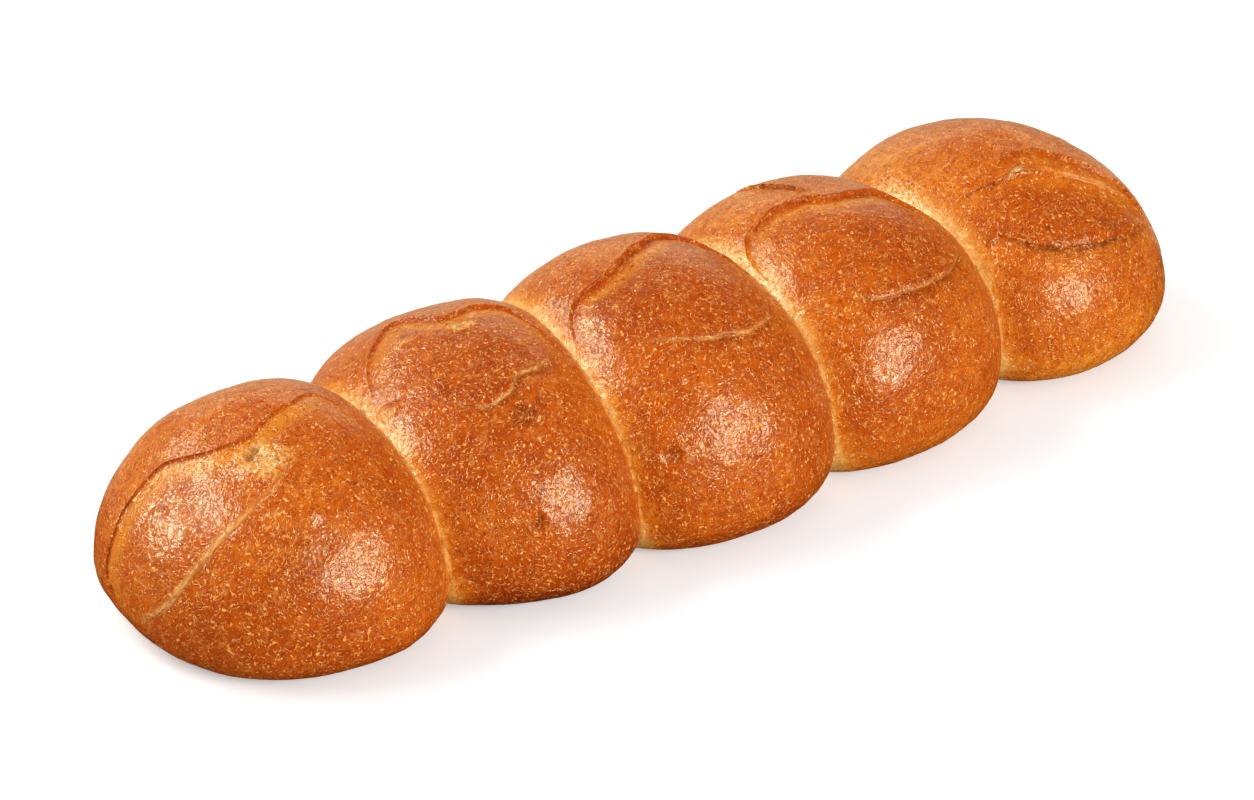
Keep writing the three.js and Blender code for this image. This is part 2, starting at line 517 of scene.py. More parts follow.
class RollMesher:
    """Builds the closed mesh of one roll from a square grid that is bent over it.

    The grid covers the dome, the wall and the rim. Rings close the base, and the edge
    of the grid is their outermost ring.
    """

    BELLY_SHARE = 0.82
    LAST_TURN = 1.46
    BASE_RINGS = 7
    SEAM_OVERLAP = 0.022
    LIP_REACH = 3.0
    LIP_PULL = 0.6
    SEAM_HALVINGS = 22
    MARK_SHARPNESS = 1.5
    MARK_RIM, MARK_RIM_AT, MARK_RIM_WIDTH = 0.12, 1.5, 0.4
    HOLLOW_BAND = (0.35, 0.95)
    FOLD_POINTS = 60
    FOLD_FOOT, FOLD_FOOT_WIDTH = 0.5, 0.35
    FOLD_LINE, FOLD_LINE_GROWTH = 0.2, 0.3
    FOLD_BRIM = 0.7
    TEAR_BAND = (0.3, 1.3)
    STILL_BAND = (0.3, 4)
    BAKE_STRIP, BAKE_GAP = 0.08, 0.01
    BAKE_DOME, BAKE_BASE = (0.49, 0.45), 0.48
    HEAT = Heat()
    OPENING = Opening()

    def __init__(self, roll: Roll, neighbours: Sequence[Roll], cells: int) -> None:
        """Keep what the mesh is made from.

        Args:
            roll: The roll to build.
            neighbours: The rolls that it touches.
            cells: How many cells the grid has along each side.
        """
        self.roll = roll
        self.neighbours = neighbours
        self.cells = cells

    # ---- The grid ----

    def _grid(self) -> Tuple[np.ndarray, np.ndarray]:
        """Spread a square grid evenly over a disc.

        Returns:
            The grid's own square coordinates, and its places on the crust.
        """
        side = np.linspace(-1, 1, self.cells + 1)
        across, along = np.meshgrid(side, side)
        square = np.column_stack([along.ravel(), across.ravel()])
        first, second = square.T
        wide = np.abs(first) >= np.abs(second)
        radius = np.where(wide, first, second)
        other = np.where(wide, second, first)
        share = np.divide(other, radius, out=np.zeros_like(radius), where=np.abs(radius) > TINY)
        angle = np.where(wide, share * math.pi / 4, math.pi / 2 - share * math.pi / 4)
        disc = np.column_stack([radius * np.cos(angle), radius * np.sin(angle)])
        return square, disc * self._turns(np.abs(radius))[:, None]

    def _turns(self, radius: np.ndarray) -> np.ndarray:
        """Give the quarter turns per unit of radius, so that cells stay about even."""
        beyond = np.maximum(radius - self.BELLY_SHARE, 0) / (1 - self.BELLY_SHARE)
        turns = np.minimum(radius, self.BELLY_SHARE) / self.BELLY_SHARE + beyond * (self.LAST_TURN - 1)
        return np.divide(turns, radius, out=np.ones_like(radius), where=radius > TINY)

    def _edge_loop(self) -> np.ndarray:
        """List the grid's edge vertices, anticlockwise seen from above."""
        row = self.cells + 1
        index = np.arange(row * row).reshape(row, row)
        sides = (index[:-1, 0], index[-1, :-1], index[:0:-1, -1], index[0, :0:-1])
        return np.concatenate(sides)

    def _base_places(self, edge: np.ndarray) -> np.ndarray:
        """Carry the edge's places inwards under the base, ring by ring."""
        turns = np.linalg.norm(edge, axis=1)[:, None]
        shares = np.arange(1, self.BASE_RINGS + 1) / (self.BASE_RINGS + 1)
        rings = [edge / turns * (turns + (2 - turns) * share) for share in shares]
        return np.concatenate([*rings, [[2.0, 0.0]]])

    def _faces(self, loop: np.ndarray) -> Tuple[List[Tuple[int, ...]], int]:
        """List the faces, the dome's first.

        Args:
            loop: The grid's edge vertices.

        Returns:
            The faces, and how many of them belong to the dome.
        """
        row = self.cells + 1
        low = (np.arange(self.cells)[:, None] * row + np.arange(self.cells)).ravel()
        dome = np.column_stack([low, low + row, low + row + 1, low + 1])
        rings = [loop]
        first = row * row
        for _ in range(self.BASE_RINGS):
            rings.append(np.arange(first, first + len(loop)))
            first += len(loop)
        base = []
        for outer, inner in zip(rings[:-1], rings[1:]):
            base.append(np.column_stack([np.roll(outer, -1), outer, inner, np.roll(inner, -1)]))
        centre = np.full(len(loop), first)
        fan = np.column_stack([np.roll(rings[-1], -1), rings[-1], centre])
        faces = [*map(tuple, dome.tolist()), *map(tuple, np.concatenate(base).tolist())]
        return faces + [*map(tuple, fan.tolist())], len(dome)

    # ---- Seams ----

    def _cut_at_seams(self, local: np.ndarray) -> np.ndarray:
        """Pull in what reaches past the seam with a neighbour.

        Both rolls keep a sliver past the seam, so that no light shows between them.

        Args:
            local: Points on the crust, in the roll's own frame.

        Returns:
            The points, those past a seam moved inwards onto its wall.
        """
        share = np.ones(len(local))
        for other in self.neighbours:

            def over(part: np.ndarray, which: np.ndarray) -> np.ndarray:
                """Tell how far points are past the seam, when drawn in to a part of their reach."""
                spot = self.roll.to_row(local[which] * part[:, None])
                return part - other.outwardness(other.to_local(spot)) - self.SEAM_OVERLAP

            past = np.flatnonzero(over(np.ones(len(local)), np.arange(len(local))) > 0)
            low, high = np.zeros(len(past)), np.ones(len(past))
            for _ in range(self.SEAM_HALVINGS):
                middle = (low + high) / 2
                outside = over(middle, past) > 0
                high = np.where(outside, middle, high)
                low = np.where(outside, low, middle)
            share[past] = np.minimum(share[past], low)
        return local * share[:, None]

    def _gap_to(self, other: Roll, local: np.ndarray) -> np.ndarray:
        """Measure how far each point is from a neighbour's crust, in mm."""
        there = other.to_local(self.roll.to_row(local))
        return np.linalg.norm(there, axis=1) * (1 - 1 / other.outwardness(there))

    def _spread_heat(self, local: np.ndarray, row: np.ndarray, skin: Skin) -> None:
        """Work out where the oven's heat reached least, at the seams, and the tone that
        paints shade and light at the foot and a sheen on the upper back-left side.

        Args:
            local: Points on the crust, in the roll's own frame.
            row: The finished vertices, in the row.
            skin: What the crust is at each vertex, which is filled in here.
        """
        heat, level = self.HEAT, row[:, 2]
        upper, low = smooth_step(*heat.top_band, level), 1 - smooth_step(*heat.low_band, level)
        spread = heat.seam_spread * (1 - smooth_step(*heat.seam_band, level))
        width = heat.seam_width + spread + heat.seam_width * upper
        for other in self.neighbours:
            gap = self._gap_to(other, local)
            skin.seam = np.maximum(skin.seam, bell(np.maximum(gap, 0), width))
            if other.number < self.roll.number:
                reach = heat.near_reach + heat.near_reach_at_top * upper + heat.near_reach_at_foot * low
                share = heat.near_share + heat.near_share_at_ends * (upper + low)
            else:
                reach = heat.far_reach
                share = heat.far_share + heat.far_share_at_ends * (upper + low)
            skin.flank = np.maximum(skin.flank, (1 - smooth_step(0, reach, gap)) * share)
        # The upper back-left side, which faces the back and left lamps, is made paler: a painted sheen.
        unit = local / self.roll.stretch(local)
        sheen_share = smooth_step(*heat.painted_sheen_band, unit @ np.array(heat.painted_sheen_way))
        # Near the floor the tone darkens by foot, and lightens where foot is below 0: partly browning,
        # partly painted shade and light.
        foot = 1 - smooth_step(*heat.foot_shade_band, level)
        skin.tone = self.roll.bake + self.roll.foot * foot * (1 - skin.flank) - heat.painted_sheen_strength * sheen_share

    # ---- Slash, dimples and tears ----

    def _gather_at_lip(self, local: np.ndarray, lip: np.ndarray) -> np.ndarray:
        """Draw vertices towards a lip, so that its edge is as fine as a real one."""
        field_at = LipField.measure(local, lip)
        near = field_at.distance < self.LIP_REACH
        share = (field_at.distance[near] / self.LIP_REACH) ** self.LIP_PULL
        moved = local.copy()
        foot = field_at.nearest[near]
        moved[near] = self.roll.on_crust(foot + (local[near] - foot) * share[:, None])
        return moved

    @staticmethod
    def _length(chain: np.ndarray) -> float:
        """Measure a chain of points from end to end."""
        return float(np.linalg.norm(np.diff(chain, axis=0), axis=1).sum())

    @staticmethod
    def _inside(places: np.ndarray, outline: np.ndarray) -> np.ndarray:
        """Tell which places lie inside a closed outline."""
        inside = np.zeros(len(places), dtype=bool)
        for (x0, y0), (x1, y1) in zip(outline, np.roll(outline, -1, axis=0)):
            crosses = (y0 > places[:, 1]) != (y1 > places[:, 1])
            where = x0 + (places[:, 1] - y0) * (x1 - x0) / ((y1 - y0) or TINY)
            inside ^= crosses & (places[:, 0] < where)
        return inside

    def _open_slash(self, local: np.ndarray, skin: Skin) -> Tuple[np.ndarray, np.ndarray]:
        """Open the slash: a trench under the back lip and a flap along the front lip.

        Args:
            local: Vertices on the crust, in the roll's own frame.
            skin: What the crust is at each vertex, which is filled in here.

        Returns:
            The vertices, gathered at the lips, and how far to move each one.
        """
        slash, form = self.roll.slash, self.OPENING
        back_places, front_places = slash.lips()
        back, front = self.roll.at_places(back_places), self.roll.at_places(front_places)
        local = self._gather_at_lip(self._gather_at_lip(local, front), back)

        outline = np.concatenate([back_places, front_places[::-1]])
        inside = self._inside(self.roll.places_of(local), outline)
        to_back, to_front = LipField.measure(local, back), LipField.measure(local, front)
        behind, before = to_back.distance, to_front.distance
        nearer_back = behind < before
        along = np.where(nearer_back, to_back.along, to_front.along)
        across = behind / np.maximum(behind + before, HAIR)
        swell = np.sqrt(np.maximum(np.sin(math.pi * along), 0))
        first, full, last, gone = slash.shown
        shown = smooth_step(first, full, to_front.along) * (1 - smooth_step(last, gone, to_front.along))

        wall, floor = form.wall_share, 1 - form.wall_share
        opened = wall * np.exp(-behind / form.wall) + floor * (1 - smooth_step(0, form.floor_end, across))
        opened *= -slash.depth * smooth_step(*form.wall_band, behind)
        rounded = smooth_step(0, form.flap_round * slash.flap, before)
        rounded = form.flap_edge + (1 - form.flap_edge) * rounded
        flap = slash.flap * shown * smooth_step(form.flap_start, 1, across) * rounded
        lifted = form.lip_rise * np.exp(-behind / form.lip_reach)
        lifted = lifted - form.lip_edge * np.exp(-behind / form.lip_edge)
        crease = -form.crease * shown * bell(before, form.crease_width)
        height = np.where(inside, opened + flap, np.maximum(lifted, 0) + crease) * swell

        # The crust hangs a little over the groove, and the flap over the front.
        across_way = front - back
        across_way /= np.maximum(np.linalg.norm(across_way, axis=1), HAIR)[:, None]
        step = np.minimum((along * (len(back) - 1)).astype(int), len(back) - 1)
        over_front = form.flap_hang * slash.flap * shown * bell(before, form.flap_hang_width)
        over_groove = form.lip_hang * slash.depth * bell(behind, form.lip_hang_width)
        hang = np.where(inside, over_front, over_groove)
        outward = local / np.linalg.norm(local, axis=1)[:, None]
        shift = outward * height[:, None] + across_way[step] * (hang * swell)[:, None]

        # What the opening looks like, for the material; some of it is painted shade and highlight.
        browned = slash.browned * swell * smooth_step(*form.brown_band, behind)
        skin.patch = np.where(inside, browned, 0)
        # The dark line under the back lip, with a thin brim above it, is painted shade.
        dark = bell(behind, np.where(inside, slash.wide, form.brim))
        skin.groove_shade = dark * swell * slash.fresh
        start, end = (slash.wide * edge for edge in form.band_start)
        under = smooth_step(start, end, behind) * (1 - smooth_step(*form.band_end, behind))
        skin.band = np.where(inside, under, 0) * swell * slash.fresh
        # The pale rim along the flap's edge is partly stretched dough and partly a painted highlight.
        edge = bell(before, np.where(inside, slash.rim_width, form.rim_outside))
        skin.rim = edge * swell * shown * slash.pale_rim
        # Below the flap, and a little on it, a darker band is painted shade.
        below = bell(before, np.where(inside, form.shade_inside_width, form.shade_width))
        skin.scorch_and_shade = slash.shade * (np.where(inside, form.shade_inside, 1) * below) * swell * shown
        skin.lip_far = np.where(nearer_back, behind, before)
        skin.lip_along = along * np.where(nearer_back, self._length(back), self._length(front))
        return local, shift

    def _press_marks(self, local: np.ndarray, skin: Skin) -> np.ndarray:
        """Press the dimples in and raise the blisters, each with a soft rim."""
        height = np.zeros(len(local))
        for mark in self.roll.marks:
            centre = self.roll.at_places(np.array([mark.place]))[0]
            share = np.linalg.norm(local - centre, axis=1) / mark.radius
            height -= mark.depth * np.exp(-(share**2) * self.MARK_SHARPNESS)
            height += self.MARK_RIM * mark.depth * bell(share - self.MARK_RIM_AT, self.MARK_RIM_WIDTH)
            # A mark's darkening is partly a scorched spot and partly painted shade in its dip.
            skin.scorch_and_shade = np.maximum(skin.scorch_and_shade, mark.scorch_and_shade * bell(share, 1))
            # The inside of a pit gets painted shade.
            pit = 1 - smooth_step(*self.HOLLOW_BAND, share)
            skin.pit_shade = np.maximum(skin.pit_shade, mark.pit_shade * pit)
        return height

    def _fold(self, local: np.ndarray, skin: Skin) -> np.ndarray:
        """Raise the folds, and darken or pale what runs along them."""
        height = np.zeros(len(local))
        for fold in self.roll.folds:
            chain = self.roll.at_places(Slash.spline(fold.places, self.FOLD_POINTS))
            track = LipField.measure(local, chain)
            last = self.FOLD_POINTS - 1
            step = np.minimum((track.along * last).astype(int), last - 1)
            way = chain[step + 1] - chain[step]
            side = np.cross(way, local - track.nearest)
            left = np.einsum("ij,ij->i", side, local) > 0
            swell = np.sqrt(np.maximum(np.sin(math.pi * track.along), 0))
            raised = np.where(left, np.exp(-track.distance / fold.width), 0)
            foot = self.FOLD_FOOT * np.exp(-track.distance / (self.FOLD_FOOT_WIDTH * fold.width))
            sunk = np.where(left, 0, foot)
            height += fold.height * (raised - sunk) * swell
            # Browned paints shade in a line along the fold, fainter on its raised side; crack paints the
            # shade inside a crack.
            line = bell(track.distance, self.FOLD_LINE + self.FOLD_LINE_GROWTH * fold.width) * swell
            line = np.where(left, line**3, line)
            skin.groove_shade = np.maximum(skin.groove_shade, fold.browned * line)
            skin.scorch_and_shade = np.maximum(skin.scorch_and_shade, fold.crack * line)
            # Pale paints a highlight along the raised side's edge.
            brim = np.where(left, bell(track.distance, self.FOLD_BRIM), 0) * swell
            skin.rim = np.maximum(skin.rim, fold.pale * brim)
        return height

    def _tear(self, local: np.ndarray, skin: Skin) -> None:
        """Fill in where the crust is torn open."""
        for tear in self.roll.tears:
            centre = self.roll.at_places(np.array([tear.place]))[0]
            angle = math.radians(tear.turn)
            offset = local - centre
            along = offset[:, 0] * math.cos(angle) + offset[:, 1] * math.sin(angle)
            across = offset[:, 1] * math.cos(angle) - offset[:, 0] * math.sin(angle)
            share = np.sqrt((along / tear.along) ** 2 + (across / tear.across) ** 2)
            skin.torn = np.maximum(skin.torn, tear.strength * (1 - smooth_step(*self.TEAR_BAND, share)))

    # ---- The mesh ----

    def build(self, name: str) -> bpy.types.Object:
        """Build the roll's mesh with its attributes and its bake map.

        Args:
            name: The name of the piece.

        Returns:
            The new object, not yet moved to the frame's origin.
        """
        square, places = self._grid()
        loop = self._edge_loop()
        all_places = np.concatenate([places, self._base_places(places[loop])])
        faces, dome_faces = self._faces(loop)

        skin = Skin.blank(len(all_places))
        local, shift = self._open_slash(self.roll.at_places(all_places), skin)
        outward = local / np.linalg.norm(local, axis=1)[:, None]
        shift += outward * (self._press_marks(local, skin) + self._fold(local, skin))[:, None]
        self._tear(local, skin)
        row = self.roll.to_row(self._cut_at_seams(local) + shift)
        row[:, 2] = np.maximum(row[:, 2], 0)
        self._spread_heat(local, row, skin)
        skin.still = smooth_step(*self.STILL_BAND, row[:, 2])

        mesh = bpy.data.meshes.new(name)
        mesh.from_pydata((row * MM).tolist(), [], faces)
        for key, values in vars(skin).items():
            layer = mesh.attributes.new(key, "FLOAT", "POINT")
            layer.data.foreach_set("value", values.astype(np.float32))
        self._bake_map(mesh, square, loop, dome_faces)
        mesh.shade_smooth()
        piece = bpy.data.objects.new(name, mesh)
        bpy.context.scene.collection.objects.link(piece)
        return piece

    def _bake_map(
        self, mesh: bpy.types.Mesh, square: np.ndarray, loop: np.ndarray, dome_faces: int
    ) -> None:
        """Unfold the dome over most of the map and the base over a strip below it.

        Args:
            mesh: The mesh that gets the map.
            square: The dome's square coordinates.
            loop: The dome's edge vertices.
            dome_faces: How many faces belong to the dome.
        """
        strip, gap = self.BAKE_STRIP, self.BAKE_GAP
        wide, tall = self.BAKE_DOME
        middle = (1 + strip + gap) / 2
        dome = np.column_stack([0.5 + wide * square[:, 0], middle + tall * square[:, 1]])
        angle = np.arctan2(square[loop, 1], square[loop, 0])
        circle = np.column_stack([np.cos(angle), np.sin(angle)])
        shares = 1 - np.arange(self.BASE_RINGS + 1) / (self.BASE_RINGS + 1)
        middle, half = np.array([0.5, strip / 2]), np.array([self.BAKE_BASE, strip / 2 - gap / 2])
        rings = [middle + circle * share * half for share in shares]
        base = np.zeros((len(mesh.vertices), 2))
        base[loop] = rings[0]
        base[len(square):] = np.concatenate([*rings[1:], [middle]])

        vertex = np.zeros(len(mesh.loops), dtype=np.int32)
        mesh.loops.foreach_get("vertex_index", vertex)
        dome_corners = dome_faces * 4
        corners = np.concatenate([dome[vertex[:dome_corners]], base[vertex[dome_corners:]]])
        layer = mesh.uv_layers.new(name="OFBake")
        layer.data.foreach_set("uv", corners.astype(np.float32).ravel())


class DoughRelief:
    """A Geometry Nodes tree that makes the crust uneven, as baked dough is.

    It moves each vertex along its normal by three sizes of noise. The attribute still
    holds it back where the roll lies on its base.
    """

    INPUTS = {
        "Swell Height": 0.45 * MM,
        "Swell Size": 26.0 * MM,
        "Ripple Height": 0.14 * MM,
        "Ripple Size": 6.5 * MM,
        "Pore Height": 0.04 * MM,
        "Pore Size": 1.9 * MM,
        "Seed": 7.0,
    }
    DETAILS = {"Swell": 1, "Ripple": 2, "Pore": 2}
    NOISE_BAND = (0.3, 0.7)
    HEIGHT_BAND = (-1.35, 0.65)

    def __init__(self) -> None:
        """Build the tree."""
        self.tree = bpy.data.node_groups.new("dough_relief", "GeometryNodeTree")
        face = self.tree.interface
        face.new_socket("Geometry", in_out="INPUT", socket_type="NodeSocketGeometry")
        self.identifiers: Dict[str, str] = {}
        for name, value in self.INPUTS.items():
            socket = face.new_socket(name, in_out="INPUT", socket_type="NodeSocketFloat")
            socket.default_value = value
            self.identifiers[name] = socket.identifier
        material = face.new_socket("Material", in_out="INPUT", socket_type="NodeSocketMaterial")
        self.identifiers["Material"] = material.identifier
        face.new_socket("Geometry", in_out="OUTPUT", socket_type="NodeSocketGeometry")
        self._wire()

    def _maths(self, operation: str, first: Fed, second: Fed) -> Socket:
        """Join two numbers."""
        node = self.tree.nodes.new("ShaderNodeMath")
        node.operation = operation
        for socket, value in zip(node.inputs, (first, second)):
            if isinstance(value, Socket):
                self.tree.links.new(value, socket)
            else:
                socket.default_value = value
        return node.outputs[0]

    def _layer(self, entry: bpy.types.Node, name: str, detail: float) -> Socket:
        """Make one size of noise, more inwards than outwards, so that the box isn't outgrown.

        Args:
            entry: The group's input node.
            name: The first word of the inputs that give its height and size.
            detail: How many finer octaves it has.

        Returns:
            The socket that holds the height.
        """
        nodes, links = self.tree.nodes, self.tree.links
        noise = nodes.new("ShaderNodeTexNoise")
        noise.noise_dimensions = "4D"
        noise.inputs["Detail"].default_value = detail
        links.new(entry.outputs["Seed"], noise.inputs["W"])
        links.new(self._maths("DIVIDE", 1.0, entry.outputs[f"{name} Size"]), noise.inputs["Scale"])
        spread = nodes.new("ShaderNodeMapRange")
        spread.clamp = False
        ends = ("From Min", "From Max", "To Min", "To Max")
        for socket, value in zip(ends, (*self.NOISE_BAND, *self.HEIGHT_BAND)):
            spread.inputs[socket].default_value = value
        links.new(noise.outputs["Fac"], spread.inputs["Value"])
        return self._maths("MULTIPLY", spread.outputs["Result"], entry.outputs[f"{name} Height"])

    def _wire(self) -> None:
        """Add the three sizes up and move the vertices by the sum."""
        nodes, links = self.tree.nodes, self.tree.links
        entry = nodes.new("NodeGroupInput")
        total, *others = [self._layer(entry, name, detail) for name, detail in self.DETAILS.items()]
        for layer in others:
            total = self._maths("ADD", total, layer)
        still = nodes.new("GeometryNodeInputNamedAttribute")
        still.data_type = "FLOAT"
        still.inputs["Name"].default_value = "still"
        held = self._maths("MULTIPLY", total, still.outputs["Attribute"])
        normal = nodes.new("GeometryNodeInputNormal")
        offset = nodes.new("ShaderNodeVectorMath")
        offset.operation = "SCALE"
        links.new(normal.outputs["Normal"], offset.inputs[0])
        links.new(held, offset.inputs["Scale"])
        move = nodes.new("GeometryNodeSetPosition")
        links.new(entry.outputs["Geometry"], move.inputs["Geometry"])
        links.new(offset.outputs["Vector"], move.inputs["Offset"])
        realize = nodes.new("GeometryNodeRealizeInstances")
        links.new(move.outputs["Geometry"], realize.inputs["Geometry"])
        paint = nodes.new("GeometryNodeSetMaterial")
        links.new(realize.outputs["Geometry"], paint.inputs["Geometry"])
        links.new(entry.outputs["Material"], paint.inputs["Material"])
        leave = nodes.new("NodeGroupOutput")
        links.new(paint.outputs["Geometry"], leave.inputs[0])

    def apply(self, piece: bpy.types.Object, material: bpy.types.Material) -> None:
        """Run the tree on a piece and keep the result as its plain mesh.

        Args:
            piece: The object to make uneven.
            material: The material that the result wears.
        """
        modifier = piece.modifiers.new("dough_relief", "NODES")
        modifier.node_group = self.tree
        modifier[self.identifiers["Material"]] = material
        modifier[self.identifiers["Seed"]] = self.INPUTS["Seed"]
        evaluated = piece.evaluated_get(bpy.context.evaluated_depsgraph_get())
        plain = bpy.data.meshes.new_from_object(evaluated)
        piece.modifiers.remove(modifier)
        old, piece.data = piece.data, plain
        plain.name = piece.name
        bpy.data.meshes.remove(old)


# ---- Finish -------------------------------------------------------------------------


class NodeBoard:
    """A short way to wire a material: each method adds a node and returns its output."""

    MIX_FIRST, MIX_SECOND, MIX_RESULT = 6, 7, 2
    SPECK_SIZES = (0.5, 0.7)
    SPECK_EDGE = (0.55, 1.1)

    def __init__(self, name: str) -> None:
        """Start an empty material.

        Args:
            name: The material's name.
        """
        self.material = bpy.data.materials.new(name)
        self.material.use_nodes = True
        self.tree = self.material.node_tree
        self.tree.nodes.clear()
        self.place = self.add("ShaderNodeTexCoord").outputs["Object"]

    def add(self, kind: str, **settings: object) -> bpy.types.Node:
        """Add a node and set its properties."""
        node = self.tree.nodes.new(kind)
        for key, value in settings.items():
            setattr(node, key, value)
        return node

    def feed(self, socket: Socket, value: Fed) -> None:
        """Link a socket to another one, or set its value."""
        if isinstance(value, Socket):
            self.tree.links.new(value, socket)
        elif isinstance(value, tuple) and len(value) == 3 and socket.type == "RGBA":
            socket.default_value = (*value, 1.0)
        else:
            socket.default_value = value

    def attribute(self, name: str) -> Socket:
        """Read one of the roll's own attributes."""
        return self.add("ShaderNodeAttribute", attribute_name=name).outputs["Fac"]

    def maths(self, operation: str, first: Fed, second: Fed = 0.0, clamp: bool = False) -> Socket:
        """Join two numbers."""
        node = self.add("ShaderNodeMath", operation=operation, use_clamp=clamp)
        self.feed(node.inputs[0], first)
        self.feed(node.inputs[1], second)
        return node.outputs[0]

    def times(self, first: Fed, second: Fed, clamp: bool = False) -> Socket:
        """Multiply two numbers."""
        return self.maths("MULTIPLY", first, second, clamp)

    def plus(self, first: Fed, second: Fed) -> Socket:
        """Add two numbers."""
        return self.maths("ADD", first, second)

    def most(self, first: Fed, second: Fed) -> Socket:
        """Take the larger of two numbers."""
        return self.maths("MAXIMUM", first, second)

    def rise(self, value: Fed, low: float, high: float, bottom: float = 0.0, top: float = 1.0) -> Socket:
        """Rise smoothly from bottom at low to top at high."""
        node = self.add("ShaderNodeMapRange", interpolation_type="SMOOTHSTEP")
        given = {"Value": value, "From Min": low, "From Max": high, "To Min": bottom, "To Max": top}
        for socket, fed in given.items():
            self.feed(node.inputs[socket], fed)
        return node.outputs["Result"]

    def noise(
        self, size: float, detail: float = 2.0, distortion: float = 0.0, where: Optional[Socket] = None
    ) -> Socket:
        """Make soft noise whose blobs are about size mm apart."""
        node = self.add("ShaderNodeTexNoise")
        self.feed(node.inputs["Vector"], where or self.place)
        self.feed(node.inputs["Scale"], 1 / (size * MM))
        self.feed(node.inputs["Detail"], detail)
        self.feed(node.inputs["Distortion"], distortion)
        return node.outputs["Fac"]

    def moved(self, where: Socket, shift: Tuple[float, float, float]) -> Socket:
        """Shift coordinates, so that a pattern read there differs."""
        node = self.add("ShaderNodeVectorMath", operation="ADD")
        self.feed(node.inputs[0], where)
        node.inputs[1].default_value = shift
        return node.outputs["Vector"]

    def specks(self, apart: float, radius: float, share: float, where: Socket) -> Socket:
        """Scatter small specks.

        Args:
            apart: How far apart the cells are that may hold one, in mm.
            radius: How large a speck is, in mm.
            share: How many of the cells hold one.
            where: The coordinates to scatter them in.

        Returns:
            1 inside a speck and 0 outside.
        """
        node = self.add("ShaderNodeTexVoronoi")
        self.feed(node.inputs["Vector"], where)
        self.feed(node.inputs["Scale"], 1 / (apart * MM))
        parts = self.add("ShaderNodeSeparateColor")
        self.feed(parts.inputs["Color"], node.outputs["Color"])
        held = self.maths("LESS_THAN", parts.outputs["Red"], share)
        smallest, growth = (size * radius / apart for size in self.SPECK_SIZES)
        grown = self.maths("MULTIPLY_ADD", parts.outputs["Green"], growth)
        self.feed(grown.node.inputs[2], smallest)
        near = self.maths("DIVIDE", node.outputs["Distance"], grown)
        return self.times(self.rise(near, *self.SPECK_EDGE, 1.0, 0.0), held)

    def blend(self, share: Fed, first: Fed, second: Fed) -> Socket:
        """Mix two colours: the first where share is 0, the second where it is 1."""
        node = self.add("ShaderNodeMix", data_type="RGBA")
        self.feed(node.inputs["Factor"], share)
        self.feed(node.inputs[self.MIX_FIRST], first)
        self.feed(node.inputs[self.MIX_SECOND], second)
        return node.outputs[self.MIX_RESULT]

    def ramp(self, share: Socket, stops: Sequence[Tuple[float, Colour]]) -> Socket:
        """Run through colours as share goes from 0 to 1."""
        node = self.add("ShaderNodeValToRGB")
        elements = node.color_ramp.elements
        while len(elements) < len(stops):
            elements.new(0.5)
        for element, (position, colour) in zip(elements, stops):
            element.position = position
            element.color = (*colour, 1.0)
        self.feed(node.inputs["Fac"], share)
        return node.outputs["Color"]

    def bump(self, height: Socket, rise: float, under: Optional[Socket] = None) -> Socket:
        """Raise the surface by rise mm where height is 1, over the bump under it."""
        node = self.add("ShaderNodeBump")
        self.feed(node.inputs["Height"], height)
        self.feed(node.inputs["Strength"], 1.0)
        self.feed(node.inputs["Distance"], rise * MM)
        if under is not None:
            self.feed(node.inputs["Normal"], under)
        return node.outputs["Normal"]


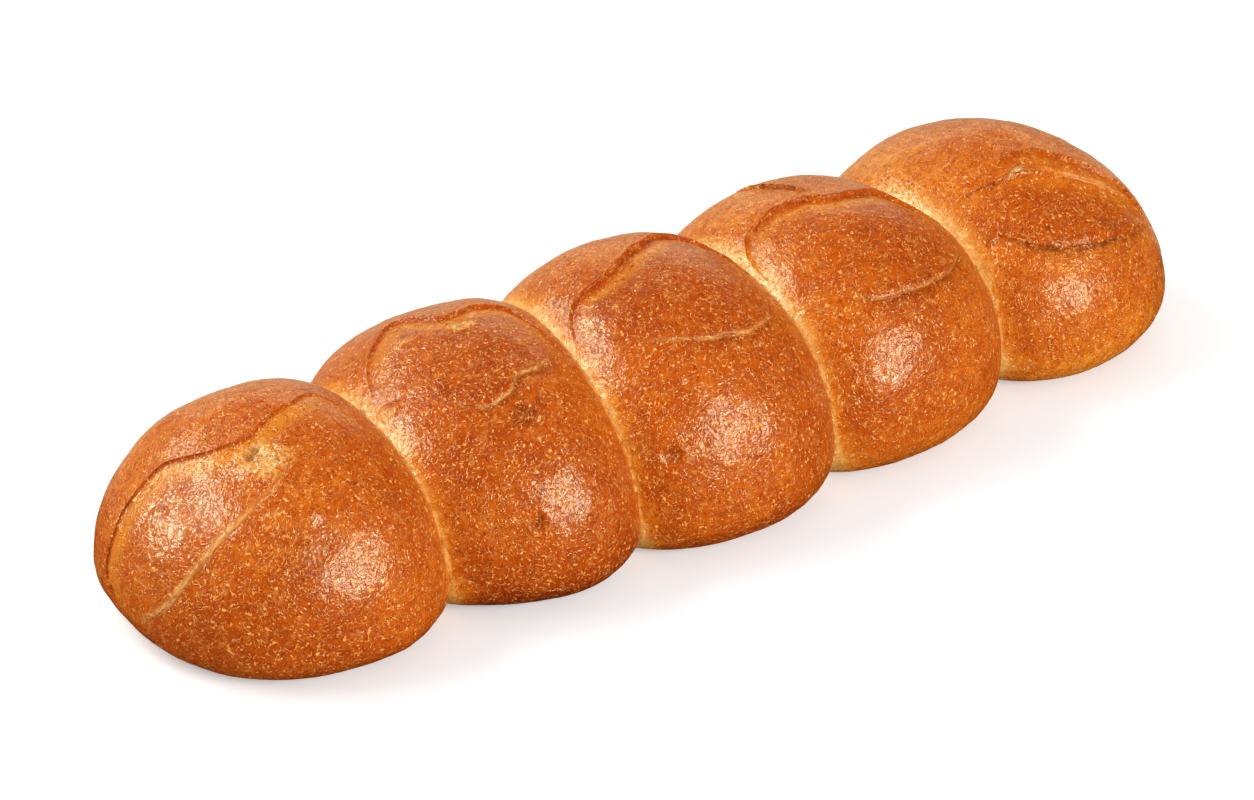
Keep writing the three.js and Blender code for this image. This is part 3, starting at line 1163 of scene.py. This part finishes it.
@dataclass(frozen=True)
class CrustFinish:
    """Baked crust with a glossy wash: its colours, from seam-pale to scorched, and its gloss.

    Sizes of patterns are mm. Specks have how far apart their cells are, how large one is
    and the share of cells that hold one. The line that flecks lie on has how wide it
    wanders and how far it is moved, so that each differs.

    Below them, each noise has its size, its octaves and its distortion. Each rise has
    where it starts and ends, and if they aren't 0 and 1, the values it goes between.
    """

    cream: Colour = srgb(250, 190, 108)
    pale: Colour = srgb(240, 150, 46)
    golden: Colour = srgb(220, 113, 15)
    brown: Colour = srgb(200, 88, 6)
    # Deep is also laid in the very crease of each seam, as painted shade.
    deep: Colour = srgb(172, 66, 2)
    scorched: Colour = srgb(134, 44, 4)
    # The darkest colour: scorched spots, and painted shade below the flap, in dips and in cracks.
    burn_and_shade: Colour = srgb(92, 26, 2)
    # Painted shade under the back lip and along the folds.
    groove_shade: Colour = srgb(182, 62, 2)
    band: Colour = srgb(242, 150, 38)
    # The flap's pale rim: partly stretched dough, partly a painted highlight.
    rim: Colour = srgb(252, 186, 104)
    # Painted shade inside the pits.
    pit_shade: Colour = srgb(156, 70, 2)
    crumb: Colour = srgb(240, 168, 80)
    strand: Colour = srgb(255, 222, 160)
    light_speck: Colour = srgb(255, 192, 108)
    fleck: Colour = srgb(253, 172, 84)
    # Dark strokes of the crust, and painted shade around the raised flecks.
    stroke_and_fleck_shade: Colour = srgb(158, 48, 0)
    dark_speck: Colour = srgb(120, 44, 6)
    roughness: float = 0.42
    specular: float = 0.05
    coat: float = 0.55
    coat_roughness: float = 0.1
    light_specks: Tuple[float, float, float] = (1.7, 0.44, 0.27)
    dark_specks: Tuple[float, float, float] = (3.1, 0.5, 0.24)
    fleck_lines: Sequence[Tuple[float, float]] = ((1.25, 0.0), (1.5, 0.31))
    stroke_line: Tuple[float, float] = (1.7, 0.53)
    warp_size: float = 1.3
    warp: float = 1.2

    HEATS: ClassVar[Sequence[float]] = (0.0, 0.2, 0.38, 0.55, 0.78, 1.0)
    NOISE_BAND: ClassVar[Band] = (0.3, 0.7)
    DULLER: ClassVar[Band] = (-0.08, 0.12)
    HALF: ClassVar[float] = 0.5
    BROAD, PATCHY, FINE, MOTTLED = (34, 1), (8, 3), (2.6, 3), (0.75, 1)
    CURLED, SEAM_NOISE, RIM_NOISE = (1.9, 0, 1.1), (2.4, 2), (2.1, 3, 0.4)
    TEAR_NOISE, FINE_TEAR_NOISE, CREASE_NOISE = (3.0, 2), (1.1, 1), (1.8, 1)
    SKIN_NOISE, FINE_SKIN_NOISE = (3.4, 2), (0.95, 0.5, 0.5)
    CRUMB_NOISE, LUMP_NOISE = (1.7, 2, 0.5), (2.3, 2)
    CALM_AT_SEAM, CURL = (0.1, 0.7, 1.0, 0.4), (0.015, 0.1, 1.0, 0.0)
    WASH_ON_DULL, WASH_IN_GROOVE = (0.0, 1.0, 1.0, 0.25), (0.0, 1.0, 1.0, 0.4)
    FLECK_WAYS, FLECK_AWAY = (1.0, 2.0, 0.7), (0.11, 0.05, 0.17)
    FLECK_BEND, FLECK_BREAKS, FLECK_KEPT = 0.6, 0.8, (0.54, 0.6)
    FLECK_CORE = (0.012, 0.045, 1.0, 0.0)
    EDGE_START, EDGE_END = (0.03, 0.05), (0.07, 0.12, 1.0, 0.0)
    HEAT_RANGE, UNEVEN_SEAM = (0.47, 0.6), (0.36, 0.62, 0.45, 1.15)
    RAGGED, RIM_BROKEN = (0.35, 0.65, 0.6, 1.0), (0.36, 0.52, 0.35, 1.0)
    RIM_STREAKS, RIM_STRETCHED = (0.25, 3.0), (0.4, 0.54, 0.35, 1.0)
    TEAR_EDGE, FINE_TEAR_EDGE = (0.36, 0.62, -0.75, 0.1), (0.35, 0.65, -0.35, 0.2)
    CRUMB_SHOWN, CRUMB_STRENGTH, STRANDS_SHOWN = (-0.1, 0.9), 0.85, (0.35, 0.9, 0.0, 0.8)
    CREASE_DEPTH, CREASE_BREAKS = (0.9, 0.995, 0.0, 0.45), (0.45, 0.6)
    NEAR_LIP, LIP_STRANDS, CUT_OPEN = (1.5, 6.0, 1.0, 0.0), (0.2, 1.5), (0.0, 0.08)

    def build(self) -> bpy.types.Material:
        """Wire the material.

        Returns:
            The crust material.
        """
        board = NodeBoard("baked_crust")
        warped = self._warped(board)
        broad, patchy, fine = (board.noise(*noise) for noise in (self.BROAD, self.PATCHY, self.FINE))
        colour = self._slashed(board, self._browning(board, broad, patchy, fine), fine)
        light = board.specks(*self.light_specks, warped)
        dark = board.specks(*self.dark_specks, warped)
        # Each fleck gets a dark border: painted shade of the raised fleck.
        cores, fleck_shade_rings = zip(*(self._flecks(board, *line) for line in self.fleck_lines))
        flecks, fleck_shade = board.most(*cores), board.most(*fleck_shade_rings)
        strokes, _ = self._flecks(board, *self.stroke_line)
        pale = board.most(board.attribute("flank"), board.attribute("seam"))
        calm = board.rise(pale, *self.CALM_AT_SEAM)
        fleck_shade, dark, strokes = (board.times(share, calm) for share in (fleck_shade, dark, strokes))
        layers = (
            (strokes, 0.75, self.stroke_and_fleck_shade),
            (fleck_shade, 0.7, self.stroke_and_fleck_shade),
            (flecks, 0.85, self.fleck),
            (light, 0.85, self.light_speck),
            (dark, 0.7, self.dark_speck),
        )
        for share, strength, tint in layers:
            colour = board.blend(board.times(share, strength), colour, tint)
        curls = board.rise(self._middle_of(board, board.noise(*self.CURLED)), *self.CURL)
        colour = self._torn(board, colour, curls)

        shader = board.add("ShaderNodeBsdfPrincipled")
        board.feed(shader.inputs["Base Color"], colour)
        least, most = (self.roughness + change for change in self.DULLER)
        board.feed(shader.inputs["Roughness"], board.rise(patchy, *self.NOISE_BAND, least, most))
        board.feed(shader.inputs["Specular IOR Level"], self.specular)
        wet = self._wash(board, curls, board.most(fleck_shade, strokes))
        board.feed(shader.inputs["Coat Weight"], wet)
        board.feed(shader.inputs["Coat Roughness"], self.coat_roughness)
        normal = self._relief(board, light, flecks, curls)
        board.feed(shader.inputs["Normal"], normal)
        board.feed(shader.inputs["Coat Normal"], normal)
        board.feed(board.add("ShaderNodeOutputMaterial").inputs["Surface"], shader.outputs["BSDF"])
        return board.material

    def _wash(self, board: NodeBoard, curls: Socket, dull: Socket) -> Socket:
        """Lay the wash on: full on the wrinkles, thin on the painted shade around flecks, in pits and under
        the back lip.
        """
        wet = board.maths("MULTIPLY_ADD", curls, 1 - self.coat)
        board.feed(wet.node.inputs[2], self.coat)
        dull = board.most(dull, board.attribute("pit_shade"))
        wet = board.times(wet, board.rise(dull, *self.WASH_ON_DULL))
        return board.times(wet, board.rise(board.attribute("groove_shade"), *self.WASH_IN_GROOVE))

    def _middle_of(self, board: NodeBoard, noise: Socket) -> Socket:
        """Draw the wandering line where noise passes its middle, as 0 there and more beside it."""
        return board.maths("ABSOLUTE", board.maths("SUBTRACT", noise, self.HALF))

    def _warped(self, board: NodeBoard) -> Socket:
        """Bend the coordinates a little, so that specks are uneven rather than round."""
        wobble = board.add("ShaderNodeTexNoise")
        board.feed(wobble.inputs["Vector"], board.place)
        board.feed(wobble.inputs["Scale"], 1 / (self.warp_size * MM))
        shift = board.add("ShaderNodeVectorMath", operation="MULTIPLY_ADD")
        board.feed(shift.inputs[0], wobble.outputs["Color"])
        shift.inputs[1].default_value = (self.warp * MM,) * 3
        board.feed(shift.inputs[2], board.place)
        return shift.outputs["Vector"]

    def _flecks(self, board: NodeBoard, size: float, offset: float) -> Tuple[Socket, Socket]:
        """Scatter short curled flecks of bran, each a bit of a wandering line.

        Args:
            board: The material's board.
            size: How wide the line wanders, in mm.
            offset: Moves the pattern, so that a second one differs.

        Returns:
            Where the flecks are, and where the dark border around each is, which is painted shade.
        """
        moved = board.moved(board.place, tuple(way * offset for way in self.FLECK_WAYS))
        line = self._middle_of(board, board.noise(size, 0, self.FLECK_BEND, moved))
        away = board.moved(moved, self.FLECK_AWAY)
        kept = board.rise(board.noise(size * self.FLECK_BREAKS, 0, 0.0, away), *self.FLECK_KEPT)
        core = board.times(board.rise(line, *self.FLECK_CORE), kept)
        edge = board.times(board.rise(line, *self.EDGE_START), board.rise(line, *self.EDGE_END))
        return core, board.times(edge, kept)

    def _browning(self, board: NodeBoard, broad: Socket, patchy: Socket, fine: Socket) -> Socket:
        """Colour the crust by how much heat reached it: little at the seams.

        The tone it reads holds browning and painted shade and light at the foot, and a
        painted sheen on the upper back-left side.
        """
        heat = board.rise(broad, *self.NOISE_BAND, *self.HEAT_RANGE)
        heat = board.plus(heat, board.attribute("tone"))
        mottled = board.noise(*self.MOTTLED)
        blotches = ((patchy, -0.045, 0.055), (fine, -0.08, 0.09), (mottled, -0.06, 0.07))
        for pattern, least, most in blotches:
            heat = board.plus(heat, board.rise(pattern, *self.NOISE_BAND, least, most))
        heat = board.plus(heat, board.attribute("patch"))
        uneven = board.rise(board.noise(*self.SEAM_NOISE), *self.UNEVEN_SEAM)
        line = board.times(board.attribute("seam"), uneven)
        losses = ((board.attribute("flank"), 0.42), (line, 0.4), (board.attribute("torn"), 0.22))
        for share, loss in losses:
            heat = board.maths("SUBTRACT", heat, board.times(share, loss))
        tints = (self.cream, self.pale, self.golden, self.brown, self.deep, self.scorched)
        return board.ramp(heat, tuple(zip(self.HEATS, tints)))

    def _slashed(self, board: NodeBoard, colour: Socket, fine: Socket) -> Socket:
        """Add what the slash and the dark marks do to the colour.

        The band under the back lip is less baked dough. The rest is laid on for scorched spots
        and as painted shade: under the lips, in dimples and in cracks.
        """
        ragged = board.rise(fine, *self.RAGGED)
        layers = (("band", self.band, 0.8), ("groove_shade", self.groove_shade, 0.8), ("scorch_and_shade", self.burn_and_shade, 0.9))
        for name, tint, strength in layers:
            share = board.times(board.attribute(name), strength, clamp=True)
            colour = board.blend(board.times(share, ragged), colour, tint)
        return colour

    def _torn(self, board: NodeBoard, colour: Socket, curls: Socket) -> Socket:
        """Add the rim of the flap, the crumb where the crust tore, a seam's crease and its pits.

        The rim is partly stretched dough and partly a painted highlight, and the crease and the
        inside of each pit are painted shade.
        """
        # The flap's pale rim, broken and streaked: partly stretched dough, partly a painted highlight.
        broken = board.rise(board.noise(*self.RIM_NOISE), *self.RIM_BROKEN)
        stretched = board.rise(self._along_lips(board, *self.RIM_STREAKS), *self.RIM_STRETCHED)
        rim = board.times(board.attribute("rim"), board.times(broken, stretched), clamp=True)
        colour = board.blend(rim, colour, self.rim)
        ragged = board.rise(board.noise(*self.TEAR_NOISE), *self.TEAR_EDGE)
        ragged = board.plus(ragged, board.attribute("torn"))
        finer = board.rise(board.noise(*self.FINE_TEAR_NOISE), *self.FINE_TEAR_EDGE)
        crumb = board.rise(board.plus(ragged, finer), *self.CRUMB_SHOWN)
        colour = board.blend(board.times(crumb, self.CRUMB_STRENGTH), colour, self.crumb)
        bright = board.times(board.rise(board.attribute("torn"), *self.STRANDS_SHOWN), curls)
        colour = board.blend(bright, colour, self.strand)
        # A dark line in the very bottom of each seam: painted shade in the crease.
        deepest = board.rise(board.attribute("seam"), *self.CREASE_DEPTH)
        creased = board.rise(board.noise(*self.CREASE_NOISE), *self.CREASE_BREAKS)
        crease = board.times(deepest, creased)
        colour = board.blend(crease, colour, self.deep)
        # Painted shade inside the pits.
        return board.blend(board.attribute("pit_shade"), colour, self.pit_shade)

    @staticmethod
    def _along_lips(board: NodeBoard, along: float, across: float) -> Socket:
        """Make noise that is stretched along the lips of the slash.

        Args:
            board: The material's board.
            along: How many blobs there are in each mm along a lip.
            across: How many there are in each mm away from it.

        Returns:
            The noise.
        """
        track = board.add("ShaderNodeCombineXYZ")
        board.feed(track.inputs[0], board.times(board.attribute("lip_along"), along))
        board.feed(track.inputs[1], board.times(board.attribute("lip_far"), across))
        noise = board.add("ShaderNodeTexNoise")
        board.feed(noise.inputs["Vector"], track.outputs["Vector"])
        board.feed(noise.inputs["Scale"], 1.0)
        board.feed(noise.inputs["Detail"], 1.0)
        return noise.outputs["Fac"]

    def _relief(self, board: NodeBoard, light: Socket, flecks: Socket, curls: Socket) -> Socket:
        """Wrinkle the skin finely, the way a baked wash shrinks.

        Along the lips of the slash, and nowhere else, it is stretched into strands.

        Args:
            board: The material's board.
            light: Where the light specks are.
            flecks: Where the bran flecks are.
            curls: Where the fine wrinkles are.

        Returns:
            The normal of the crust.
        """
        near = board.rise(board.attribute("lip_far"), *self.NEAR_LIP)
        strands = board.times(self._along_lips(board, *self.LIP_STRANDS), near)
        torn = board.times(board.attribute("torn"), board.noise(*self.CRUMB_NOISE))
        opened = board.rise(board.attribute("patch"), *self.CUT_OPEN)
        lumps = board.times(board.noise(*self.LUMP_NOISE), opened)
        heights = (
            (board.noise(*self.SKIN_NOISE), 0.12),
            (strands, 0.08),
            (torn, 1.6),
            (lumps, 0.25),
            (board.noise(*self.FINE_SKIN_NOISE), 0.11),
            (curls, 0.08),
            (flecks, 0.06),
            (light, 0.08),
        )
        normal = None
        for pattern, height in heights:
            normal = board.bump(pattern, height, normal)
        return normal


# ---- The row --------------------------------------------------------------------------


class RollRow:
    """The five rolls, from the near end of the row to the far end."""

    def __init__(self, cells: int) -> None:
        """Set the rolls up.

        Args:
            cells: How fine each roll's grid is.
        """
        self.cells = cells
        self.rolls = self._recipe()
        self.pieces: List[bpy.types.Object] = []

    @staticmethod
    def _recipe() -> List[Roll]:
        """Give the sizes of each roll and what is on it, from the near end to the far end."""
        return [
            Roll(
                1, (3, 2.5), Reach(46, 39, 46, 41.5), 55.5, -7, (-2.5, 2),
                Slash(
                    ((-1.15, -0.1), (0.33, -0.1)),
                    (
                        (-1, 0.04), (-0.86, 0.12), (-0.5, 0.06), (-0.3, -0.07),
                        (-0.16, -0.1), (0.05, -0.03), (0.22, 0.04),
                    ),
                    (
                        (-0.85, -0.35), (-0.6, -0.4), (-0.36, -0.38),
                        (-0.2, -0.35), (-0.08, -0.29), (0.17, -0.24),
                    ),
                    depth=0.5, wide=0.6, flap=0.6, pale_rim=1.6, rim_width=1.0,
                    shade=0.0, browned=0.03, shown=(0.1, 0.2, 0.42, 0.76),
                ),
                marks=(
                    Mark((-0.2, -0.187), 2.0, 0.8, 0.0, 0.75),
                    Mark((-0.172, -0.175), 1.9, 0.8, 0.0, 0.75),
                    Mark((-0.57, -0.11), 1.5, 0.5, 0.3),
                    Mark((0.18, 0.08), 1.4, 0.3, 0.7),
                    Mark((-0.11, -0.47), 2.6, -0.7),
                    # A broad darker spot with no dent, between the slash and the key highlight.
                    Mark((-0.22, -0.6), 8.0, 0.0, 0.28),
                ),
                tears=(Tear((-0.16, -0.22), 7.6, 5.6, 1.0, -20),),
                bake=0.04,
                foot=0.04,
            ),
            Roll(
                2, (7.5, -0.5), Reach(52, 34.5, 48.5, 52), 56.5, -18, (-4.5, 0.5),
                Slash(
                    ((-0.44, -0.06), (0.36, -0.06)),
                    ((-0.4, 0.08), (-0.32, 0.21), (-0.22, 0.27), (-0.12, 0.16), (0.04, 0.2), (0.24, 0.13)),
                    (
                        (-0.38, -0.16), (-0.26, -0.24), (-0.13, -0.32),
                        (-0.03, -0.3), (0.04, -0.23), (0.24, -0.16),
                    ),
                    depth=0.9, wide=1.1, pale_rim=0.9, shade=0.5, shown=(0.25, 0.5, 0.8, 0.95),
                ),
                marks=(
                    Mark((-0.06, -0.77), 1.9, 1.5, 0.45),
                    Mark((-0.02, -0.38), 3.4, 0.6, 0.9),
                    Mark((-0.42, -0.18), 1.2, 0.6),
                    # A broad darker spot with no dent, below the slash.
                    Mark((-0.2, -0.48), 7.0, 0.0, 0.22),
                ),
                tears=(
                    Tear((-0.06, 0.08), 5.5, 3, 0.85),
                    Tear((-0.26, 0.1), 5, 2.2, 0.5),
                    Tear((-0.42, -0.18), 3, 2.4, 0.7),
                ),
                folds=(Fold(((0.12, -0.3), (0.02, -0.4), (-0.1, -0.42)), 0.8, 1.8, 1.0, 0.6),),
                bake=0.05,
                foot=0.36,
            ),
            Roll(
                3, (-5, -3.5), Reach(45, 44, 49.5, 47.5), 61.5, -3, (-0.5, 2.5),
                Slash(
                    ((-0.45, -0.1), (0.45, -0.06)),
                    ((-0.39, 0), (-0.3, 0.04), (-0.14, 0.05), (0.02, 0.12), (0.2, 0.2), (0.38, 0.11)),
                    ((-0.38, -0.2), (-0.28, -0.28), (-0.08, -0.37), (0.13, -0.4), (0.3, -0.33), (0.4, -0.2)),
                    depth=1.7, wide=1.9, pale_rim=0.8, shown=(0.15, 0.4, 0.8, 0.95),
                ),
                marks=(
                    Mark((-0.4, -0.65), 2.3, 1.7, 0.5),
                    Mark((-0.22, -0.46), 1.3, -0.5),
                ),
                bake=0.04,
                foot=0.08,
            ),
            Roll(
                4, (-8.5, -3), Reach(41.5, 47.5, 45, 51.5), 59, 1, (1, 0),
                Slash(
                    ((-0.44, -0.06), (0.48, -0.14)),
                    ((-0.4, 0.06), (-0.3, 0.13), (-0.16, 0.13), (0.07, 0.05), (0.3, 0.05)),
                    (
                        (-0.41, -0.2), (-0.3, -0.34), (-0.14, -0.44),
                        (0.05, -0.47), (0.25, -0.43), (0.4, -0.32),
                    ),
                    depth=1.5, wide=1.7, flap=1.1, pale_rim=0.6, shade=0.7, shown=(0.2, 0.5, 0.85, 1.0),
                ),
                marks=(Mark((0.01, 0.1), 1.4, -0.4),),
                folds=(Fold(((-0.04, 0.47), (-0.02, 0.27), (0.01, 0.1)), 1.0, 1.9, 1.0, 0.6),),
                foot=-0.15,
            ),
            Roll(
                5, (1.5, 4.5), Reach(44, 40, 46, 52.5), 52.5, 18, (-1, 0),
                Slash(
                    ((-0.41, 0.01), (0.36, -0.6)),
                    (
                        (-0.35, 0), (-0.28, -0.06), (-0.19, -0.11), (-0.11, -0.16),
                        (0, -0.27), (0.11, -0.37), (0.25, -0.48),
                    ),
                    ((-0.45, -0.18), (-0.38, -0.355), (-0.24, -0.505), (0, -0.585), (0.2, -0.605)),
                    depth=0.9, wide=0.8, flap=1.8, pale_rim=0.0, shade=0.8, browned=0.27, fresh=0.15,
                    shown=(0.15, 0.35, 0.85, 1.0),
                ),
                marks=(
                    Mark((-0.47, -0.2), 1.8, 0.7, 0.6),
                    Mark((-0.51, -0.25), 1.4, -0.4),
                    Mark((-0.28, -0.36), 0.8, 0.3, 0.9),
                    Mark((-0.28, -0.475), 1.2, -0.5),
                ),
                tears=(Tear((-0.14, -0.12), 3.4, 0.9, 1.3, -10),),
                folds=(
                    Fold(
                        ((-0.37, 0), (-0.3, -0.045), (-0.24, -0.085), (-0.19, -0.105)),
                        height=-0.5, width=1.2, browned=0.6, crack=1.0,
                    ),
                    Fold(
                        (
                            (-0.22, -0.06), (-0.13, -0.045), (0, -0.11),
                            (0.11, -0.25), (0.26, -0.4), (0.34, -0.54),
                        ),
                        height=1.2, width=3.4, browned=0.9,
                    ),
                    Fold(
                        ((-0.19, -0.11), (-0.11, -0.16), (0, -0.27), (0.11, -0.37), (0.25, -0.48)),
                        height=0.0, width=0.5, pale=0.5,
                    ),
                ),
                bake=-0.08,
                foot=-0.15,
            ),
        ]

    def build(self) -> None:
        """Build the five meshes and bring the row's middle to the frame's origin."""
        for index, roll in enumerate(self.rolls):
            beside = [self.rolls[i] for i in (index - 1, index + 1) if 0 <= i < len(self.rolls)]
            self.pieces.append(RollMesher(roll, beside, self.cells).build(f"roll_{roll.number}"))
        corners = np.concatenate([np.array([*map(tuple, piece.bound_box)]) for piece in self.pieces])
        middle = (corners.min(axis=0) + corners.max(axis=0)) / 2
        for piece in self.pieces:
            piece.data.transform(Matrix.Translation((-middle[0], -middle[1], 0)))
        LOG.info("row is %s mm", ((corners.max(axis=0) - corners.min(axis=0)) / MM).round(1))

    def dress(self, relief: DoughRelief, crust: bpy.types.Material) -> None:
        """Roughen and paint the rolls, hide the frame's node that they stand for, and hang them under its
        root body.

        Args:
            relief: The tree that makes the crust uneven.
            crust: The crust material.
        """
        for piece in self.pieces:
            relief.apply(piece, crust)
            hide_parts(NODE)
            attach(piece, "root")
            LOG.info("%s: %d faces, dressed", piece.name, len(piece.data.polygons))


# ---- The studio -------------------------------------------------------------------------


class Falls(Enum):
    """What a light is there for: to light the crust, to be mirrored in its gloss, or both."""

    EVERYWHERE = (True, True)
    ON_CRUST = (True, False)
    IN_GLOSS = (False, True)


@dataclass(frozen=True)
class SoftLight:
    """A soft light that faces the row from a direction, in degrees, with its sizes in metres."""

    name: str
    azimuth: float
    elevation: float
    distance: float
    width: float
    height: float
    power: float
    colour: Colour = (1.0, 1.0, 1.0)
    falls: Falls = Falls.EVERYWHERE

    def build(self, target: Vector) -> None:
        """Hang the light and point it at the target."""
        way = direction(self.azimuth, self.elevation)
        data = bpy.data.lights.new(self.name, "AREA")
        data.shape = "ELLIPSE"
        data.size, data.size_y = self.width, self.height
        data.energy = self.power
        data.color = self.colour
        lamp = bpy.data.objects.new(self.name, data)
        lamp.location = target + way * self.distance
        lamp.rotation_euler = (-way).to_track_quat("-Z", "Y").to_euler()
        lamp.visible_camera = False
        lamp.visible_diffuse, lamp.visible_glossy = self.falls.value
        bpy.context.scene.collection.objects.link(lamp)


@dataclass(frozen=True)
class Viewpoint:
    """Where the camera stands: angles in degrees, lengths in mm, focal length in pixels.

    Only how far it sees is in metres.
    """

    azimuth: float = -40.06
    elevation: float = 32.11
    roll: float = 2.99
    distance: float = 1441.8
    focal: float = 5629.5
    target: Tuple[float, float, float] = (-13.45, -5.89, 22.73)
    sensor: float = 36.0
    sight: float = 20.0

    def build(self) -> None:
        """Make the camera and hand it to the scene."""
        angle, tilt = math.radians(self.azimuth), math.radians(self.roll)
        back = direction(self.azimuth, self.elevation)
        level = Vector((math.cos(angle), math.sin(angle), 0.0))
        upright = back.cross(level)
        right = level * math.cos(tilt) + upright * math.sin(tilt)
        up = upright * math.cos(tilt) - level * math.sin(tilt)
        data = bpy.data.cameras.new("camera")
        data.sensor_fit = "HORIZONTAL"
        data.sensor_width = self.sensor
        data.lens = self.focal * data.sensor_width / PHOTO_WIDTH
        data.clip_end = self.sight
        camera = bpy.data.objects.new("camera", data)
        place = Vector(self.target) * MM + back * self.distance * MM
        turning = Matrix((right, up, back)).transposed().to_4x4()
        camera.matrix_world = Matrix.Translation(place) @ turning
        bpy.context.scene.collection.objects.link(camera)
        bpy.context.scene.camera = camera


@dataclass(frozen=True)
class Floor:
    """A white floor, as one plane for the camera and one that throws light back up.

    The one that is seen has the tint that makes up for the warm light off the bread.
    """

    half: float = 3.0
    shown: Colour = (0.85, 0.91, 1.0)
    glow: float = 0.33
    bounce: Colour = (0.65, 0.65, 0.65)
    bounce_level: float = -0.5 * MM
    roughness: float = 0.8

    def build(self) -> None:
        """Lay both planes just under the row."""
        seen = self._plane("floor", self.shown, self.glow, 0.0)
        seen.visible_diffuse = seen.visible_glossy = seen.visible_shadow = False
        bounce = self._plane("floor_bounce", self.bounce, 0.0, self.bounce_level)
        bounce.visible_camera = bounce.visible_glossy = False

    def _plane(self, name: str, white: Colour, glow: float, level: float) -> bpy.types.Object:
        """Lay one plane.

        Args:
            name: Its name.
            white: How much light it throws back.
            glow: How much it shines by itself.
            level: Its height.

        Returns:
            The plane.
        """
        mesh = bpy.data.meshes.new(name)
        reach = ((-1, -1), (1, -1), (1, 1), (-1, 1))
        mesh.from_pydata([(x * self.half, y * self.half, level) for x, y in reach], [], [(0, 1, 2, 3)])
        plane = bpy.data.objects.new(name, mesh)
        bpy.context.scene.collection.objects.link(plane)
        board = NodeBoard(f"{name}_white")
        shader = board.add("ShaderNodeBsdfPrincipled")
        board.feed(shader.inputs["Base Color"], white)
        board.feed(shader.inputs["Roughness"], self.roughness)
        board.feed(shader.inputs["Emission Color"], (1.0, 1.0, 1.0))
        board.feed(shader.inputs["Emission Strength"], glow)
        board.feed(board.add("ShaderNodeOutputMaterial").inputs["Surface"], shader.outputs["BSDF"])
        mesh.materials.append(board.material)
        return plane


class Studio:
    """A white floor, a white surround, the soft lights and the camera."""

    LAMP = (1.0, 0.95, 0.84)
    SHEEN = (0.88, 1.0, 0.7)
    LIGHTS = (
        SoftLight("key", 12, 24, 1.6, 0.84, 0.78, 17.5, LAMP, Falls.ON_CRUST),
        SoftLight("key_core", 17, 20, 1.6, 1.0, 0.84, 35.0, SHEEN, Falls.IN_GLOSS),
        SoftLight("key_halo", 19, 19, 1.6, 1.3, 1.1, 5.0, SHEEN, Falls.IN_GLOSS),
        SoftLight("left", -116, 32, 1.6, 0.7, 1.1, 8.0, LAMP, Falls.ON_CRUST),
        SoftLight("left_low", -129, 19, 1.6, 0.6, 0.55, 21.0, SHEEN, Falls.IN_GLOSS),
        SoftLight("left_high", -122, 46, 1.6, 1.3, 0.5, 36.0, SHEEN, Falls.IN_GLOSS),
        SoftLight("left_back", -158, 33, 1.6, 0.7, 0.6, 11.0, SHEEN, Falls.IN_GLOSS),
        SoftLight("back", -148, 45, 1.6, 0.8, 0.72, 11.0, LAMP, Falls.ON_CRUST),
        SoftLight("card", 145, 16, 2.0, 2.4, 0.9, 9.0, (1.0, 0.9, 0.58)),
        SoftLight("low_card", 145, -14, 1.4, 2.4, 0.8, 3.4, (1.0, 0.84, 0.55), Falls.IN_GLOSS),
    )
    SURROUND = 0.4
    AIM = Vector((0.0, 0.0, 0.03))

    def build(self) -> None:
        """Build the studio."""
        Floor().build()
        world = bpy.data.worlds.new("surround")
        bpy.context.scene.world = world
        world.use_nodes = True
        sky = world.node_tree.nodes["Background"]
        sky.inputs["Color"].default_value = (1.0, 1.0, 1.0, 1.0)
        sky.inputs["Strength"].default_value = self.SURROUND
        world.cycles_visibility.glossy = False
        for light in self.LIGHTS:
            light.build(self.AIM)
        Viewpoint().build()
        view = bpy.context.scene.view_settings
        view.view_transform = "Standard"
        view.look = "None"


def main() -> None:
    """Build the row, dress it and light it."""
    logging.basicConfig(level=logging.INFO)
    row = RollRow(cells=FINE_CELLS)
    row.build()
    row.dress(DoughRelief(), CrustFinish().build())
    Studio().build()


if __name__ == "__main__":
    main()
